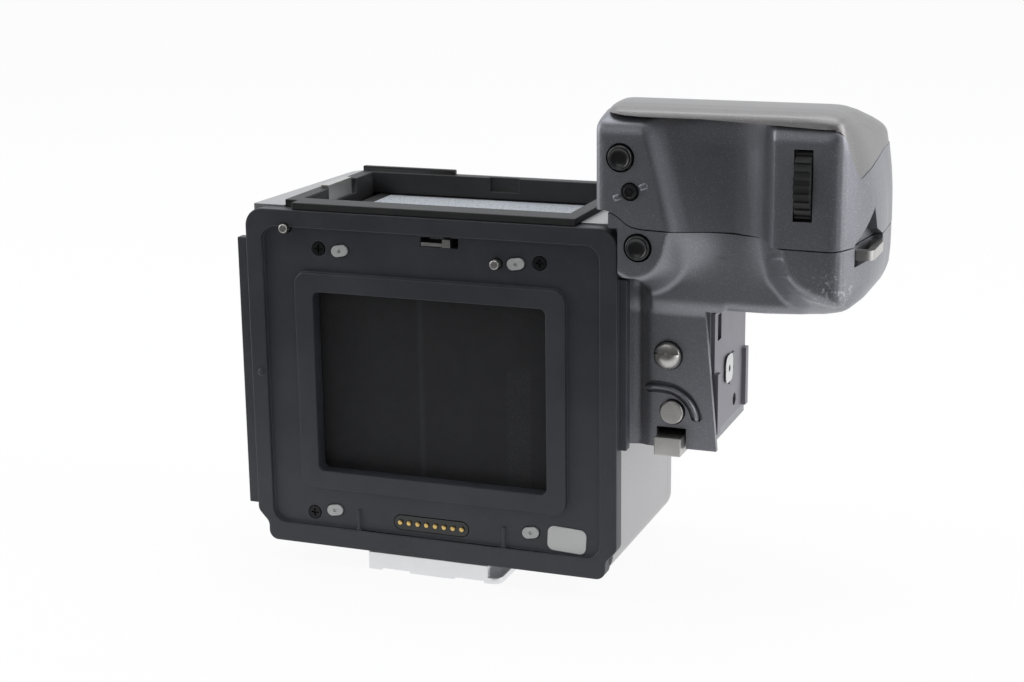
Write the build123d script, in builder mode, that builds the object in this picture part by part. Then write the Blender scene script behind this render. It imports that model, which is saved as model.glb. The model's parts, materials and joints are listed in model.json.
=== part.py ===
from build123d import *
from math import cos, pi, radians, sin, tan
import os

os.makedirs("parts", exist_ok=True)

# Medium format single lens reflex body with a side grip, in millimetres.
# X points to the grip side, Y to the lens and Z up. The origin is the centre
# of the tripod socket on the base face, which is the plane Z = 0.

# Light path
gate_width = 59.4
gate_height = 45.0
gate_corner = 1.5
flange_focal = 61.6
axis_z = 47.0
rear_y = -33.0
flange_y = rear_y + flange_focal

# Clearances
fit_gap = 0.1
run_gap = 0.05
slide_gap = 0.15
free_gap = 0.4
overrun = 1.0

# Covers of the body block
cover_wall = 1.8
cover_left_rear = 46.5
cover_left_front = 43.5
cover_right = 45.0
cover_up = 42.6
cover_down = 42.0
cover_depth = 58.0
cover_corner = 6.0
cover_low_corner = 5.0
cover_front_y = rear_y + cover_depth
cover_top_z = axis_z + cover_up
cover_low_z = axis_z - cover_down

# Rear plate that takes the magazine
plate_t = 4.0
plate_half = 47.0
plate_up = 42.2
plate_down = 42.0
plate_corner = 4.5
plate_y = rear_y + plate_t

# Mirror box casting
frame_side = 41.6
frame_low = 39.0
frame_depth = 8.5
gate_wall = 2.0
tunnel_half = 30.5
tunnel_wall = 2.0
tunnel_low = 29.0
tunnel_up = 36.0
front_frame_t = 5.0
front_frame_side = 39.5
front_frame_tall = 38.0
throat_r = 33.0
mount_t = 6.6
casting_front_y = flange_y - mount_t
front_frame_y = casting_front_y - front_frame_t
gate_wall_y = plate_y + frame_depth - gate_wall
chamber_y = plate_y + frame_depth
tunnel_out = tunnel_half + tunnel_wall
chamber_low_z = axis_z - tunnel_low
casting_top_z = axis_z + tunnel_up

# Head of the grip
grip_wall = 1.8
head_left = 41.8
head_rear_y = rear_y - 0.5
head_front_y = rear_y + 55.0
head_top_z = axis_z + 70.0
head_low_z = axis_z + 22.8
seam_z = axis_z + 43.0
cover_seam_z = axis_z + 66.5


def span_middle(span):
    return (span[0] + span[1]) / 2


def slab(x_span, y_span, z_span, mode=Mode.ADD):
    """A box given by its limits, in the part that is being built."""
    with Locations((span_middle(x_span), span_middle(y_span), span_middle(z_span))):
        Box(x_span[1] - x_span[0], y_span[1] - y_span[0], z_span[1] - z_span[0], mode=mode)


def rod(start, end, radius, mode=Mode.ADD, end_radius=None):
    """A cylinder or cone between two points, in the part that is being built."""
    way = Vector(*end) - Vector(*start)
    seat = Plane(origin=start, z_dir=way)
    flush = (Align.CENTER, Align.CENTER, Align.MIN)
    with Locations(seat.location):
        if end_radius is None:
            Cylinder(radius, way.length, align=flush, mode=mode)
        else:
            Cone(radius, end_radius, way.length, align=flush, mode=mode)


def rear_plane(y):
    """An upright plane at y that faces the rear, with its origin on the optical axis."""
    return Plane(origin=(0, y, axis_z), x_dir=(1, 0, 0), z_dir=(0, -1, 0))


def side_plane(x):
    """An upright plane at x that faces the grip side, with Y across it and Z up."""
    return Plane(origin=(x, 0, 0), x_dir=(0, 1, 0), z_dir=(1, 0, 0))


def save_tilted(builder, name):
    """Saves a piece that was built level, turned onto the sloping top."""
    piece = builder.part.rotate(top_axis, -top_tilt)
    piece.label = name
    export_step(piece, f"parts/{name}.step")


def save(builder, name):
    """Labels a finished piece and writes it as one STEP file."""
    builder.part.label = name
    export_step(builder.part, f"parts/{name}.step")


# Places shared by the rear plate, the casting and what goes through them
screw_places = [(-28.1, 33.0), (28.1, 33.0), (-31.8, -33.9), (31.8, -33.9)]
plate_screw_r = 1.0
plate_head_r = 1.6
plate_head_t = 0.9
plate_screw_reach = 6.0
pad_places = [(-22.5, 32.8), (22.3, 32.5), (-26.1, -32.7), (25.3, -32.6)]
pad_length = 4.2
pad_width = 2.7
pad_t = 0.8
pad_turn = 10.0
hook_place = (3.2, 36.3)
hook_slot_length = 9.5
hook_slot_width = 2.2
hook_reach = 3.0
pin_places = {"magazine_pin_left": (-36.5, 37.7), "magazine_pin_right": (17.6, 32.3)}
pin_r = 1.15
pin_out = 0.9
pin_collar_r = 1.9
pin_collar_t = 1.0
pin_travel = 1.2
contact_first_x = -8.55
contact_pitch = 2.31
contact_count = 8
contact_z = -33.9
contact_r = 0.6
contact_block_t = 3.0
contact_block_tall = 3.6
contact_side = 1.6
contact_travel = 0.6
contact_xs = [contact_first_x + contact_pitch * step for step in range(contact_count)]
contact_block_half = (contact_xs[-1] - contact_xs[0]) / 2 + contact_side
contact_middle_x = (contact_xs[-1] + contact_xs[0]) / 2
contact_body_r = 0.85
index_place = (-44.3, 1.4)
index_r = 0.8
index_out = 0.8

# Rear plate
field_depth = 1.2
field_rim = 4.2
field_low = 37.0
field_corner = 3.5
inner_frame_half = 34.5
inner_frame_tall = 27.1
inner_frame_corner = 3.0
foot_half = 44.2
foot_step_z = 34.5
foot_z = 37.5
foot_corner = 2.4
left_flange = 3.0
left_flange_z = (-33.2, 34.6)
right_flange = 2.0
right_flange_z = (-10.0, 30.5)
rib_xs = (-19.6, 18.5)
rib_width = 0.9
rib_length = 5.0
field_y = rear_y + field_depth


def plate_outline():
    """The plate's outline, with rounded corners and a stepped foot."""
    with BuildSketch(rear_plane(rear_y)) as outline:
        with BuildLine():
            Polyline(
                (-plate_half, plate_up),
                (plate_half, plate_up),
                (plate_half, -foot_step_z),
                (foot_half, -foot_z),
                (foot_half, -plate_down),
                (-foot_half, -plate_down),
                (-foot_half, -foot_z),
                (-plate_half, -foot_step_z),
                close=True,
            )
        make_face()
        fillet(outline.vertices().group_by(Axis.Y)[-1], plate_corner)
        fillet(outline.vertices().sort_by(Axis.Y)[:6], foot_corner)
    return outline.sketch


with BuildPart() as rear_plate:
    extrude(plate_outline(), amount=-plate_t)
    slab(
        (-plate_half - left_flange, -plate_half),
        (field_y, plate_y),
        (axis_z + left_flange_z[0], axis_z + left_flange_z[1]),
    )
    slab(
        (plate_half, plate_half + right_flange),
        (field_y, plate_y),
        (axis_z + right_flange_z[0], axis_z + right_flange_z[1]),
    )
    with BuildSketch(rear_plane(rear_y)):
        with Locations((0, (plate_up - field_rim - field_low) / 2)):
            RectangleRounded(
                2 * (plate_half - field_rim), plate_up - field_rim + field_low, field_corner
            )
        RectangleRounded(
            2 * inner_frame_half, 2 * inner_frame_tall, inner_frame_corner, mode=Mode.SUBTRACT
        )
    extrude(amount=-field_depth, mode=Mode.SUBTRACT)
    for rib_x in rib_xs:
        slab(
            (rib_x - rib_width / 2, rib_x + rib_width / 2),
            (rear_y + field_depth / 2, field_y + field_depth / 2),
            (axis_z - field_low, axis_z - field_low + rib_length),
        )
    with BuildSketch(rear_plane(rear_y)):
        RectangleRounded(gate_width, gate_height, gate_corner)
        with Locations(hook_place):
            Rectangle(hook_slot_length, hook_slot_width)
    extrude(amount=-plate_t, mode=Mode.SUBTRACT)
    with BuildSketch(rear_plane(rear_y)):
        with Locations((contact_middle_x, contact_z)):
            SlotOverall(2 * contact_block_half + 2 * fit_gap, contact_block_tall + 2 * fit_gap)
    extrude(amount=-plate_t, mode=Mode.SUBTRACT)
    with BuildSketch(rear_plane(field_y)):
        with Locations(*[Location((x, z), pad_turn) for x, z in pad_places]):
            SlotOverall(pad_length + 2 * fit_gap, pad_width + 2 * fit_gap)
    extrude(amount=-pad_t / 2, mode=Mode.SUBTRACT)
    with BuildSketch(rear_plane(field_y)):
        with Locations(*screw_places):
            Circle(plate_head_r + fit_gap)
    extrude(amount=-plate_head_t, mode=Mode.SUBTRACT)
    with BuildSketch(rear_plane(rear_y)):
        with Locations(*screw_places):
            Circle(plate_screw_r + fit_gap)
        with Locations(*pin_places.values()):
            Circle(pin_r + slide_gap)
    extrude(amount=-plate_t, mode=Mode.SUBTRACT)
    rod(
        (index_place[0], rear_y - index_out, axis_z + index_place[1]),
        (index_place[0], field_y, axis_z + index_place[1]),
        index_r,
    )
save(rear_plate, "rear_plate")


# Cross headed screws of the rear plate
cross_length = 1.9
cross_width = 0.45
cross_depth = 0.5

with BuildPart() as rear_plate_screws:
    for x, z in screw_places:
        rod((x, field_y, axis_z + z), (x, field_y + plate_head_t, axis_z + z), plate_head_r)
        rod(
            (x, field_y + plate_head_t, axis_z + z),
            (x, plate_y + plate_screw_reach, axis_z + z),
            plate_screw_r,
        )
    with BuildSketch(rear_plane(field_y)):
        with Locations(*screw_places):
            Rectangle(cross_length, cross_width)
            Rectangle(cross_width, cross_length)
    extrude(amount=-cross_depth, mode=Mode.SUBTRACT)
save(rear_plate_screws, "rear_plate_screws")


# Worn oval pads that the magazine bears on
pad_pin_r = 0.45
pad_pin_depth = 0.3

with BuildPart() as magazine_pads:
    with BuildSketch(rear_plane(field_y + pad_t / 2)):
        with Locations(*[Location((x, z), pad_turn) for x, z in pad_places]):
            SlotOverall(pad_length, pad_width)
    extrude(amount=pad_t)
    with BuildSketch(rear_plane(field_y - pad_t / 2)):
        with Locations(*pad_places):
            Circle(pad_pin_r)
    extrude(amount=-pad_pin_depth, mode=Mode.SUBTRACT)
save(magazine_pads, "magazine_pads")


# Latch hook behind the slot at the top of the plate
hook_block_length = 2.0
hook_blade_t = 0.8
hook_root_y = plate_y + hook_reach
hook_travel = 1.5
hook_length = hook_slot_length - hook_travel - 2 * slide_gap
hook_left = hook_place[0] - hook_slot_length / 2 + slide_gap
hook_thick = hook_slot_width - 2 * slide_gap

with BuildPart() as magazine_hook:
    slab(
        (hook_left, hook_left + hook_length),
        (field_y, hook_root_y),
        (
            axis_z + hook_place[1] - hook_thick / 2,
            axis_z + hook_place[1] - hook_thick / 2 + hook_blade_t,
        ),
    )
    slab(
        (hook_left + hook_length - hook_block_length, hook_left + hook_length),
        (field_y - hook_blade_t, hook_root_y),
        (axis_z + hook_place[1] - hook_thick / 2, axis_z + hook_place[1] + hook_thick / 2),
    )
save(magazine_hook, "magazine_hook")


# Two spring pins that centre the magazine
for pin_name, (x, z) in pin_places.items():
    with BuildPart() as magazine_pin:
        rod((x, rear_y - pin_out, axis_z + z), (x, plate_y + run_gap, axis_z + z), pin_r)
        rod(
            (x, plate_y + run_gap, axis_z + z),
            (x, plate_y + run_gap + pin_collar_t, axis_z + z),
            pin_collar_r,
        )
        fillet(magazine_pin.edges().group_by(Axis.Y)[0], pin_r / 3)
    save(magazine_pin, pin_name)


# Data contacts: a moulded block with eight spring pins
with BuildPart() as contact_block:
    with BuildSketch(rear_plane(field_y)):
        with Locations((contact_middle_x, contact_z)):
            SlotOverall(2 * contact_block_half, contact_block_tall)
        with Locations(*[(x, contact_z) for x in contact_xs]):
            Circle(contact_r + run_gap, mode=Mode.SUBTRACT)
    extrude(amount=-contact_block_t)
save(contact_block, "contact_block")

with BuildPart() as contact_pins:
    for x in contact_xs:
        rod(
            (x, field_y - contact_travel, axis_z + contact_z),
            (x, field_y + contact_block_t + run_gap, axis_z + contact_z),
            contact_r,
        )
        rod(
            (x, field_y + contact_block_t + run_gap, axis_z + contact_z),
            (x, field_y + contact_block_t + run_gap + contact_r, axis_z + contact_z),
            contact_body_r,
        )
    fillet(contact_pins.edges().group_by(Axis.Y)[0], contact_r / 2)
save(contact_pins, "contact_pins")


# Cloth blind and its two rollers, in the cavity behind the rear plate
roller_r = 2.6
roller_x = 37.6
roller_y = rear_y + 7.4
roller_half = 26.2
roller_pivot_r = 0.8
roller_pivot_half = 28.6
blind_t = 0.2
blind_half = 25.4
cavity_half = 27.0
cavity_side = 40.8
blind_in_y = roller_y - roller_r - run_gap

for roller_name, x in (("blind_roller_left", -roller_x), ("blind_roller_right", roller_x)):
    with BuildPart() as blind_roller:
        rod((x, roller_y, axis_z - roller_half), (x, roller_y, axis_z + roller_half), roller_r)
        rod(
            (x, roller_y, axis_z - roller_pivot_half),
            (x, roller_y, axis_z + roller_pivot_half),
            roller_pivot_r,
        )
    save(blind_roller, roller_name)

with BuildPart() as shutter_blind:
    slab(
        (-roller_x, roller_x),
        (blind_in_y - blind_t, blind_in_y),
        (axis_z - blind_half, axis_z + blind_half),
    )
    for x in (-roller_x, roller_x):
        with BuildSketch(Plane.XY.offset(axis_z - blind_half)):
            with Locations((x, roller_y)):
                Circle(roller_r + run_gap + blind_t)
                Circle(roller_r + run_gap, mode=Mode.SUBTRACT)
            with Locations((x - x / 2, roller_y)):
                Rectangle(abs(x), 2 * roller_x, mode=Mode.SUBTRACT)
            with Locations((x + x / 2, roller_y + roller_x)):
                Rectangle(abs(x), 2 * roller_x, mode=Mode.SUBTRACT)
        extrude(amount=2 * blind_half)
save(shutter_blind, "shutter_blind")


# Mirror, its carrier and the sub mirror, resting at 45 degrees
mirror_axle_y = rear_y + 15.0
mirror_axle_z = axis_z + 23.0
mirror_tilt = 45.0
mirror_length = 45.0
mirror_half = 29.0
mirror_tip_half = 15.0
mirror_straight = 16.0
carrier_t = 1.6
mirror_t = 1.2
mirror_start = 3.5
mirror_edge = 0.8
barrel_r = 2.0
axle_r = 1.2
axle_right = tunnel_out - free_gap
gear_in_x = -tunnel_out - 1.0
gear_t = 3.0
sub_pivot = 22.0
sub_length = 13.0
sub_half = 11.0
sub_t = 1.0
sub_barrel_r = 0.9
sub_drop = 1.4
sub_ear = 2.0
tilt = radians(mirror_tilt)
mirror_plane = Plane(
    origin=(0, mirror_axle_y, mirror_axle_z), x_dir=(1, 0, 0), z_dir=(0, sin(tilt), cos(tilt))
)


def on_mirror(x, along, above):
    """A point given on the mirror: across, down its slope and off its face."""
    return (
        x,
        mirror_axle_y + along * cos(tilt) + above * sin(tilt),
        mirror_axle_z - along * sin(tilt) + above * cos(tilt),
    )


def mirror_outline(start, edge):
    """The mirror's tapered outline on its own plane, drawn in by an edge."""
    with BuildSketch(mirror_plane) as outline:
        with BuildLine():
            Polyline(
                (-mirror_half + edge, start),
                (-mirror_half + edge, mirror_straight),
                (-mirror_tip_half + edge, mirror_length - edge),
                (mirror_tip_half - edge, mirror_length - edge),
                (mirror_half - edge, mirror_straight),
                (mirror_half - edge, start),
                close=True,
            )
        make_face()
    return outline.sketch


def axle_rod(x_span, radius, mode=Mode.ADD):
    """A round piece along the mirror's axle."""
    rod(
        (x_span[0], mirror_axle_y, mirror_axle_z),
        (x_span[1], mirror_axle_y, mirror_axle_z),
        radius,
        mode,
    )


with BuildPart() as mirror_carrier:
    extrude(mirror_outline(0, 0), amount=-carrier_t)
    with BuildSketch(mirror_plane.offset(-carrier_t)):
        with Locations(
            (-sub_half - run_gap - sub_ear / 2, sub_pivot), (sub_half + run_gap + sub_ear / 2, sub_pivot)
        ):
            Rectangle(sub_ear, 2 * sub_drop)
    extrude(amount=-sub_drop - sub_barrel_r)
    axle_rod((-mirror_half, mirror_half), barrel_r)
    axle_rod((-mirror_half, mirror_half), axle_r, Mode.SUBTRACT)
    rod(
        on_mirror(-sub_half - sub_ear - overrun, sub_pivot, -carrier_t - sub_drop),
        on_mirror(sub_half + sub_ear + overrun, sub_pivot, -carrier_t - sub_drop),
        sub_barrel_r / 2 + run_gap,
        Mode.SUBTRACT,
    )
save(mirror_carrier, "mirror_carrier")

with BuildPart() as mirror_glass:
    extrude(mirror_outline(mirror_start, mirror_edge), amount=mirror_t)
save(mirror_glass, "mirror_glass")

with BuildPart() as mirror_axle:
    axle_rod((gear_in_x - gear_t - cover_wall, axle_right), axle_r)
save(mirror_axle, "mirror_axle")

with BuildPart() as sub_mirror:
    rod(
        on_mirror(-sub_half, sub_pivot, -carrier_t - sub_drop),
        on_mirror(sub_half, sub_pivot, -carrier_t - sub_drop),
        sub_barrel_r,
    )
    rod(
        on_mirror(-sub_half - sub_ear, sub_pivot, -carrier_t - sub_drop),
        on_mirror(sub_half + sub_ear, sub_pivot, -carrier_t - sub_drop),
        sub_barrel_r / 2,
    )
    with BuildSketch(mirror_plane.offset(-carrier_t - sub_drop)):
        with Locations((0, sub_pivot)):
            Rectangle(2 * sub_half, sub_t)
    extrude(amount=-sub_length)
save(sub_mirror, "sub_mirror")


# Drive of the mirror: a pancake motor, its pinion and a toothed sector
gear_module = 0.8
pinion_teeth = 10
sector_full_teeth = 63
sector_spare_teeth = 2
sector_hub_r = 2.2
sector_arm_share = 0.72
tooth_top_share = 0.3
tooth_root_share = 0.62
tooth_out_share = 0.75
tooth_in_share = 1.15
drive_angle = -38.0
motor_r = 9.0
motor_t = 4.6
motor_gap = 0.6
motor_leg_r = 1.5
motor_leg_place = 6.6
motor_leg_turn = 45.0
motor_shaft_r = 0.8
pinion_r = gear_module * pinion_teeth / 2
sector_r = gear_module * sector_full_teeth / 2
drive_reach = pinion_r + sector_r
motor_centre_y = mirror_axle_y + drive_reach * cos(radians(drive_angle))
motor_centre_z = mirror_axle_z + drive_reach * sin(radians(drive_angle))
gear_out_x = gear_in_x - gear_t
motor_in_x = gear_out_x - motor_gap
motor_out_x = motor_in_x - motor_t
tooth_angle = 360 / sector_full_teeth
sector_teeth = int(mirror_tilt / tooth_angle) + 2 * sector_spare_teeth


def polar_point(centre, radius, angle):
    """A point of the YZ plane, given by its distance and angle from a centre."""
    return (centre[0] + radius * cos(radians(angle)), centre[1] + radius * sin(radians(angle)))


def tooth(centre, pitch_r, angle):
    """One straight flanked gear tooth, in the sketch that is being built."""
    pitch = pi * gear_module
    top_half = pitch * tooth_top_share / 2
    root_half = pitch * tooth_root_share / 2
    out_r = pitch_r + gear_module * tooth_out_share
    root_r = pitch_r - gear_module * tooth_in_share - gear_module / 2
    across = angle + 90
    low = polar_point(centre, root_r, angle)
    high = polar_point(centre, out_r, angle)
    Polygon(
        polar_point(low, root_half, across),
        polar_point(high, top_half, across),
        polar_point(high, -top_half, across),
        polar_point(low, -root_half, across),
        align=None,
    )


mirror_centre = (mirror_axle_y, mirror_axle_z)
motor_centre = (motor_centre_y, motor_centre_z)
sector_first = drive_angle + sector_spare_teeth * tooth_angle
sector_last = sector_first - (sector_teeth - 1) * tooth_angle

with BuildPart() as mirror_gear:
    with BuildSketch(side_plane(gear_out_x)) as sector:
        with BuildLine():
            rim_r = sector_r - gear_module * tooth_in_share
            first = polar_point(mirror_centre, rim_r, sector_first + tooth_angle / 2)
            last = polar_point(mirror_centre, rim_r, sector_last - tooth_angle / 2)
            middle = polar_point(mirror_centre, rim_r, (sector_first + sector_last) / 2)
            ThreePointArc(first, middle, last)
            Line(last, mirror_centre)
            Line(mirror_centre, first)
        make_face()
        with Locations(mirror_centre):
            Circle(sector_hub_r)
        for step in range(sector_teeth):
            tooth(mirror_centre, sector_r, sector_first - step * tooth_angle)
        with Locations(mirror_centre):
            Circle(axle_r, mode=Mode.SUBTRACT)
    extrude(amount=gear_t)
save(mirror_gear, "mirror_gear")

with BuildPart() as drive_pinion:
    with BuildSketch(side_plane(gear_out_x)) as pinion:
        with Locations(motor_centre):
            Circle(pinion_r - gear_module * tooth_in_share)
        for step in range(pinion_teeth):
            turn = (step + 1 / 2) * 360 / pinion_teeth
            tooth(motor_centre, pinion_r, drive_angle + 180 + turn)
    extrude(amount=gear_t)
    rod((motor_in_x - motor_t / 2, *motor_centre), (gear_out_x, *motor_centre), motor_shaft_r)
save(drive_pinion, "drive_pinion")

with BuildPart() as drive_motor:
    rod((motor_out_x, *motor_centre), (motor_in_x, *motor_centre), motor_r)
    rod(
        (motor_in_x - motor_t / 2 - run_gap, *motor_centre),
        (motor_in_x, *motor_centre),
        motor_shaft_r + run_gap,
        Mode.SUBTRACT,
    )
    for turn in (-motor_leg_turn, motor_leg_turn):
        leg = polar_point(motor_centre, motor_leg_place, drive_angle + turn)
        rod((motor_in_x, *leg), (-tunnel_out, *leg), motor_leg_r)
    fillet(drive_motor.edges().group_by(Axis.X)[0], motor_leg_r / 2)
save(drive_motor, "drive_motor")


# Casting: a rear frame with the blind's cavity, the mirror chamber and a front frame
board_t = 1.6
board_gap = 2.0
board_y = (rear_y + 15.0, rear_y + 47.0)
board_z = (axis_z - 30.0, axis_z + 30.0)
standoff_r = 2.0
standoff_in = 3.5
sill_half = 11.0
sill_low = 35.5
sill_high = 29.5
foot_block_half = 13.0
foot_block_y = (rear_y + 20.0, rear_y + 46.0)
chamber_top_half = 28.5
board_corners = [
    (board_y[0] + standoff_in, board_z[0] + standoff_in),
    (board_y[1] - standoff_in, board_z[0] + standoff_in),
    (board_y[0] + standoff_in, board_z[1] - standoff_in),
    (board_y[1] - standoff_in, board_z[1] - standoff_in),
]
base_screw_half = (8.0, 9.0)
base_screw_r = 1.2
base_screw_reach = 5.0
base_middle_y = (foot_block_y[0] + foot_block_y[1]) / 2
base_screws = [
    (side * base_screw_half[0], base_middle_y + end * base_screw_half[1])
    for side in (-1, 1)
    for end in (-1, 1)
]
cover_floor_z = cover_low_z + cover_wall
ring_r = 37.0
ring_in_r = 32.5
ring_screw_r = 1.0
ring_screw_place = (ring_r + ring_in_r) / 2
ring_screw_turns = (50.0, 130.0, 230.0, 310.0)
ring_screw_reach = 3.5
lock_pin_r = 1.35
lock_pin_turn = 180.0
lock_pin_root = 3.0

panel_buttons = {
    "lens_release_button": (-33.0, -31.6),
    "stop_down_button": (33.6, -31.6),
    "mirror_up_button": (33.6, 32.2),
}
panel_button_r = 3.2
panel_lip = 0.7
panel_button_out = 1.2
panel_travel = 1.0

with BuildPart() as body_casting:
    slab(
        (-frame_side, frame_side),
        (plate_y, chamber_y),
        (axis_z - frame_low, casting_top_z),
    )
    slab(
        (-cavity_side, cavity_side),
        (plate_y, gate_wall_y),
        (axis_z - cavity_half, axis_z + cavity_half),
        Mode.SUBTRACT,
    )
    slab(
        (-tunnel_out, tunnel_out),
        (chamber_y, front_frame_y),
        (chamber_low_z - tunnel_wall, casting_top_z),
    )
    slab(
        (-tunnel_half, tunnel_half),
        (chamber_y, front_frame_y),
        (chamber_low_z, casting_top_z + overrun),
        Mode.SUBTRACT,
    )
    slab(
        (-gate_width / 2, gate_width / 2),
        (gate_wall_y, chamber_y),
        (axis_z - gate_height / 2, axis_z + gate_height / 2),
        Mode.SUBTRACT,
    )
    slab(
        (-front_frame_side, front_frame_side),
        (front_frame_y, casting_front_y),
        (axis_z - front_frame_tall, axis_z + front_frame_tall),
    )
    rod((0, front_frame_y, axis_z), (0, casting_front_y, axis_z), throat_r, Mode.SUBTRACT)
    slab(
        (-sill_half, sill_half),
        (front_frame_y, casting_front_y),
        (axis_z - sill_low, axis_z - sill_high),
    )
    slab(
        (-foot_block_half, foot_block_half),
        foot_block_y,
        (cover_floor_z, chamber_low_z - tunnel_wall),
    )
    for y, z in board_corners:
        rod((tunnel_out, y, z), (tunnel_out + board_gap, y, z), standoff_r)
    for x, z in screw_places:
        rod(
            (x, plate_y, axis_z + z),
            (x, plate_y + plate_screw_reach + run_gap, axis_z + z),
            plate_screw_r,
            Mode.SUBTRACT,
        )
    for x in (-roller_x, roller_x):
        rod(
            (x, roller_y, axis_z - roller_pivot_half - run_gap),
            (x, roller_y, axis_z + roller_pivot_half + run_gap),
            roller_pivot_r + run_gap,
            Mode.SUBTRACT,
        )
    axle_rod((-tunnel_out, tunnel_out), axle_r + run_gap, Mode.SUBTRACT)
    for x, y in base_screws:
        rod((x, y, cover_floor_z), (x, y, cover_floor_z + base_screw_reach), base_screw_r, Mode.SUBTRACT)
    for x, z in pin_places.values():
        rod(
            (x, plate_y, axis_z + z),
            (x, plate_y + pin_collar_t + pin_travel + slide_gap, axis_z + z),
            pin_collar_r + slide_gap,
            Mode.SUBTRACT,
        )
    slab(
        (hook_place[0] - hook_slot_length / 2, hook_place[0] + hook_slot_length / 2),
        (plate_y, hook_root_y + slide_gap),
        (axis_z + hook_place[1] - hook_slot_width / 2, casting_top_z + overrun),
        Mode.SUBTRACT,
    )
    slab(
        (contact_middle_x - contact_block_half, contact_middle_x + contact_block_half),
        (plate_y, plate_y + contact_block_t),
        (axis_z + contact_z - contact_block_tall / 2, axis_z + contact_z + contact_block_tall / 2),
        Mode.SUBTRACT,
    )
    for turn in ring_screw_turns:
        y_root = casting_front_y - ring_screw_reach
        across, up = polar_point((0, axis_z), ring_screw_place, turn)
        rod((across, y_root, up), (across, casting_front_y, up), ring_screw_r, Mode.SUBTRACT)
    across, up = polar_point((0, axis_z), ring_screw_place, lock_pin_turn)
    rod(
        (across, front_frame_y, up),
        (across, casting_front_y, up),
        lock_pin_r + slide_gap,
        Mode.SUBTRACT,
    )
    for x, z in panel_buttons.values():
        rod(
            (x, casting_front_y - panel_travel - free_gap, axis_z + z),
            (x, casting_front_y, axis_z + z),
            panel_button_r + panel_lip + slide_gap,
            Mode.SUBTRACT,
        )
save(body_casting, "body_casting")


# Focusing screen and its frame, on top of the mirror chamber
screen_frame_t = 2.4
screen_frame_y = (rear_y + 8.0, rear_y + 49.4)
screen_open_half = 28.0
screen_open_y = (rear_y + 14.0, rear_y + 45.0)
screen_rebate = 1.4
screen_t = 1.2
screen_seat_z = casting_top_z + screen_frame_t - screen_t - fit_gap

with BuildPart() as screen_frame:
    slab((-tunnel_out, tunnel_out), screen_frame_y, (casting_top_z, casting_top_z + screen_frame_t))
    slab(
        (-screen_open_half, screen_open_half),
        screen_open_y,
        (casting_top_z, casting_top_z + screen_frame_t),
        Mode.SUBTRACT,
    )
    slab(
        (-screen_open_half - screen_rebate, screen_open_half + screen_rebate),
        (screen_open_y[0] - screen_rebate, screen_open_y[1] + screen_rebate),
        (screen_seat_z, casting_top_z + screen_frame_t),
        Mode.SUBTRACT,
    )
save(screen_frame, "screen_frame")

with BuildPart() as focusing_screen:
    slab(
        (-screen_open_half - screen_rebate + fit_gap, screen_open_half + screen_rebate - fit_gap),
        (screen_open_y[0] - screen_rebate + fit_gap, screen_open_y[1] + screen_rebate - fit_gap),
        (screen_seat_z, screen_seat_z + screen_t),
    )
save(focusing_screen, "focusing_screen")


# Frame of the finder well
finder_left = 38.0
finder_right = 37.0
finder_wall = 3.5
finder_rear_wall = 3.0
finder_front_wall = 3.0
finder_up = 44.0
finder_depth = 49.8
rail_overhang = 3.7
lip_t = 1.4
lip_up = 1.2
lip_right = -12.0
notch_x = (-2.0, 6.0)
notch_depth = 1.2
notch_tall = 3.6
catch_y = (rear_y + 21.0, rear_y + 34.0)
catch_t = 1.2
catch_low = 3.6
catch_flange = 2.2
catch_travel = 2.5
catch_flange_t = 0.7
finder_low_z = casting_top_z
finder_top_z = axis_z + finder_up
finder_front_y = rear_y + finder_depth
finder_in_left = -finder_left + finder_wall

with BuildPart() as finder_frame:
    slab((-finder_left, finder_right), (plate_y, finder_front_y), (finder_low_z, finder_top_z))
    slab(
        (finder_in_left, finder_right - finder_wall),
        (plate_y + finder_rear_wall, finder_front_y - finder_front_wall),
        (finder_low_z, finder_top_z),
        Mode.SUBTRACT,
    )
    slab(
        (finder_in_left, finder_right - finder_wall),
        (finder_front_y - finder_front_wall, finder_front_y),
        (finder_low_z, finder_low_z + screen_frame_t + fit_gap),
        Mode.SUBTRACT,
    )
    slab(
        (-finder_left + finder_wall, finder_right),
        (plate_y - rail_overhang, plate_y),
        (axis_z + plate_up + run_gap, finder_top_z),
    )
    slab(
        (-finder_left, lip_right),
        (finder_front_y - lip_t, finder_front_y),
        (finder_top_z, finder_top_z + lip_up),
    )
    slab(
        notch_x,
        (finder_front_y - finder_front_wall, finder_front_y - finder_front_wall + notch_depth),
        (finder_top_z - notch_tall, finder_top_z),
        Mode.SUBTRACT,
    )
    slab(
        (finder_in_left - catch_t - run_gap, finder_in_left),
        (catch_y[0] - run_gap, catch_y[1] + catch_travel + slide_gap),
        (finder_top_z - catch_low - run_gap, finder_top_z),
        Mode.SUBTRACT,
    )
    left_pin = pin_places["magazine_pin_left"]
    rod(
        (left_pin[0], plate_y, axis_z + left_pin[1]),
        (left_pin[0], plate_y + pin_collar_t + pin_travel + slide_gap, axis_z + left_pin[1]),
        pin_collar_r + slide_gap,
        Mode.SUBTRACT,
    )
    slab(
        (hook_place[0] - hook_slot_length / 2, hook_place[0] + hook_slot_length / 2),
        (plate_y, hook_root_y + slide_gap),
        (finder_low_z, axis_z + hook_place[1] + hook_slot_width / 2),
        Mode.SUBTRACT,
    )
save(finder_frame, "finder_frame")

with BuildPart() as finder_catch:
    slab(
        (finder_in_left - catch_t, finder_in_left - run_gap),
        catch_y,
        (finder_top_z - catch_low, finder_top_z + run_gap + catch_flange_t),
    )
    slab(
        (finder_in_left - catch_flange, finder_in_left - run_gap),
        catch_y,
        (finder_top_z + run_gap, finder_top_z + run_gap + catch_flange_t),
    )
save(finder_catch, "finder_catch")


# Covers of the body block
cover_side_split = 33.0
cover_front_split = rear_y + 49.4


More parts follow.
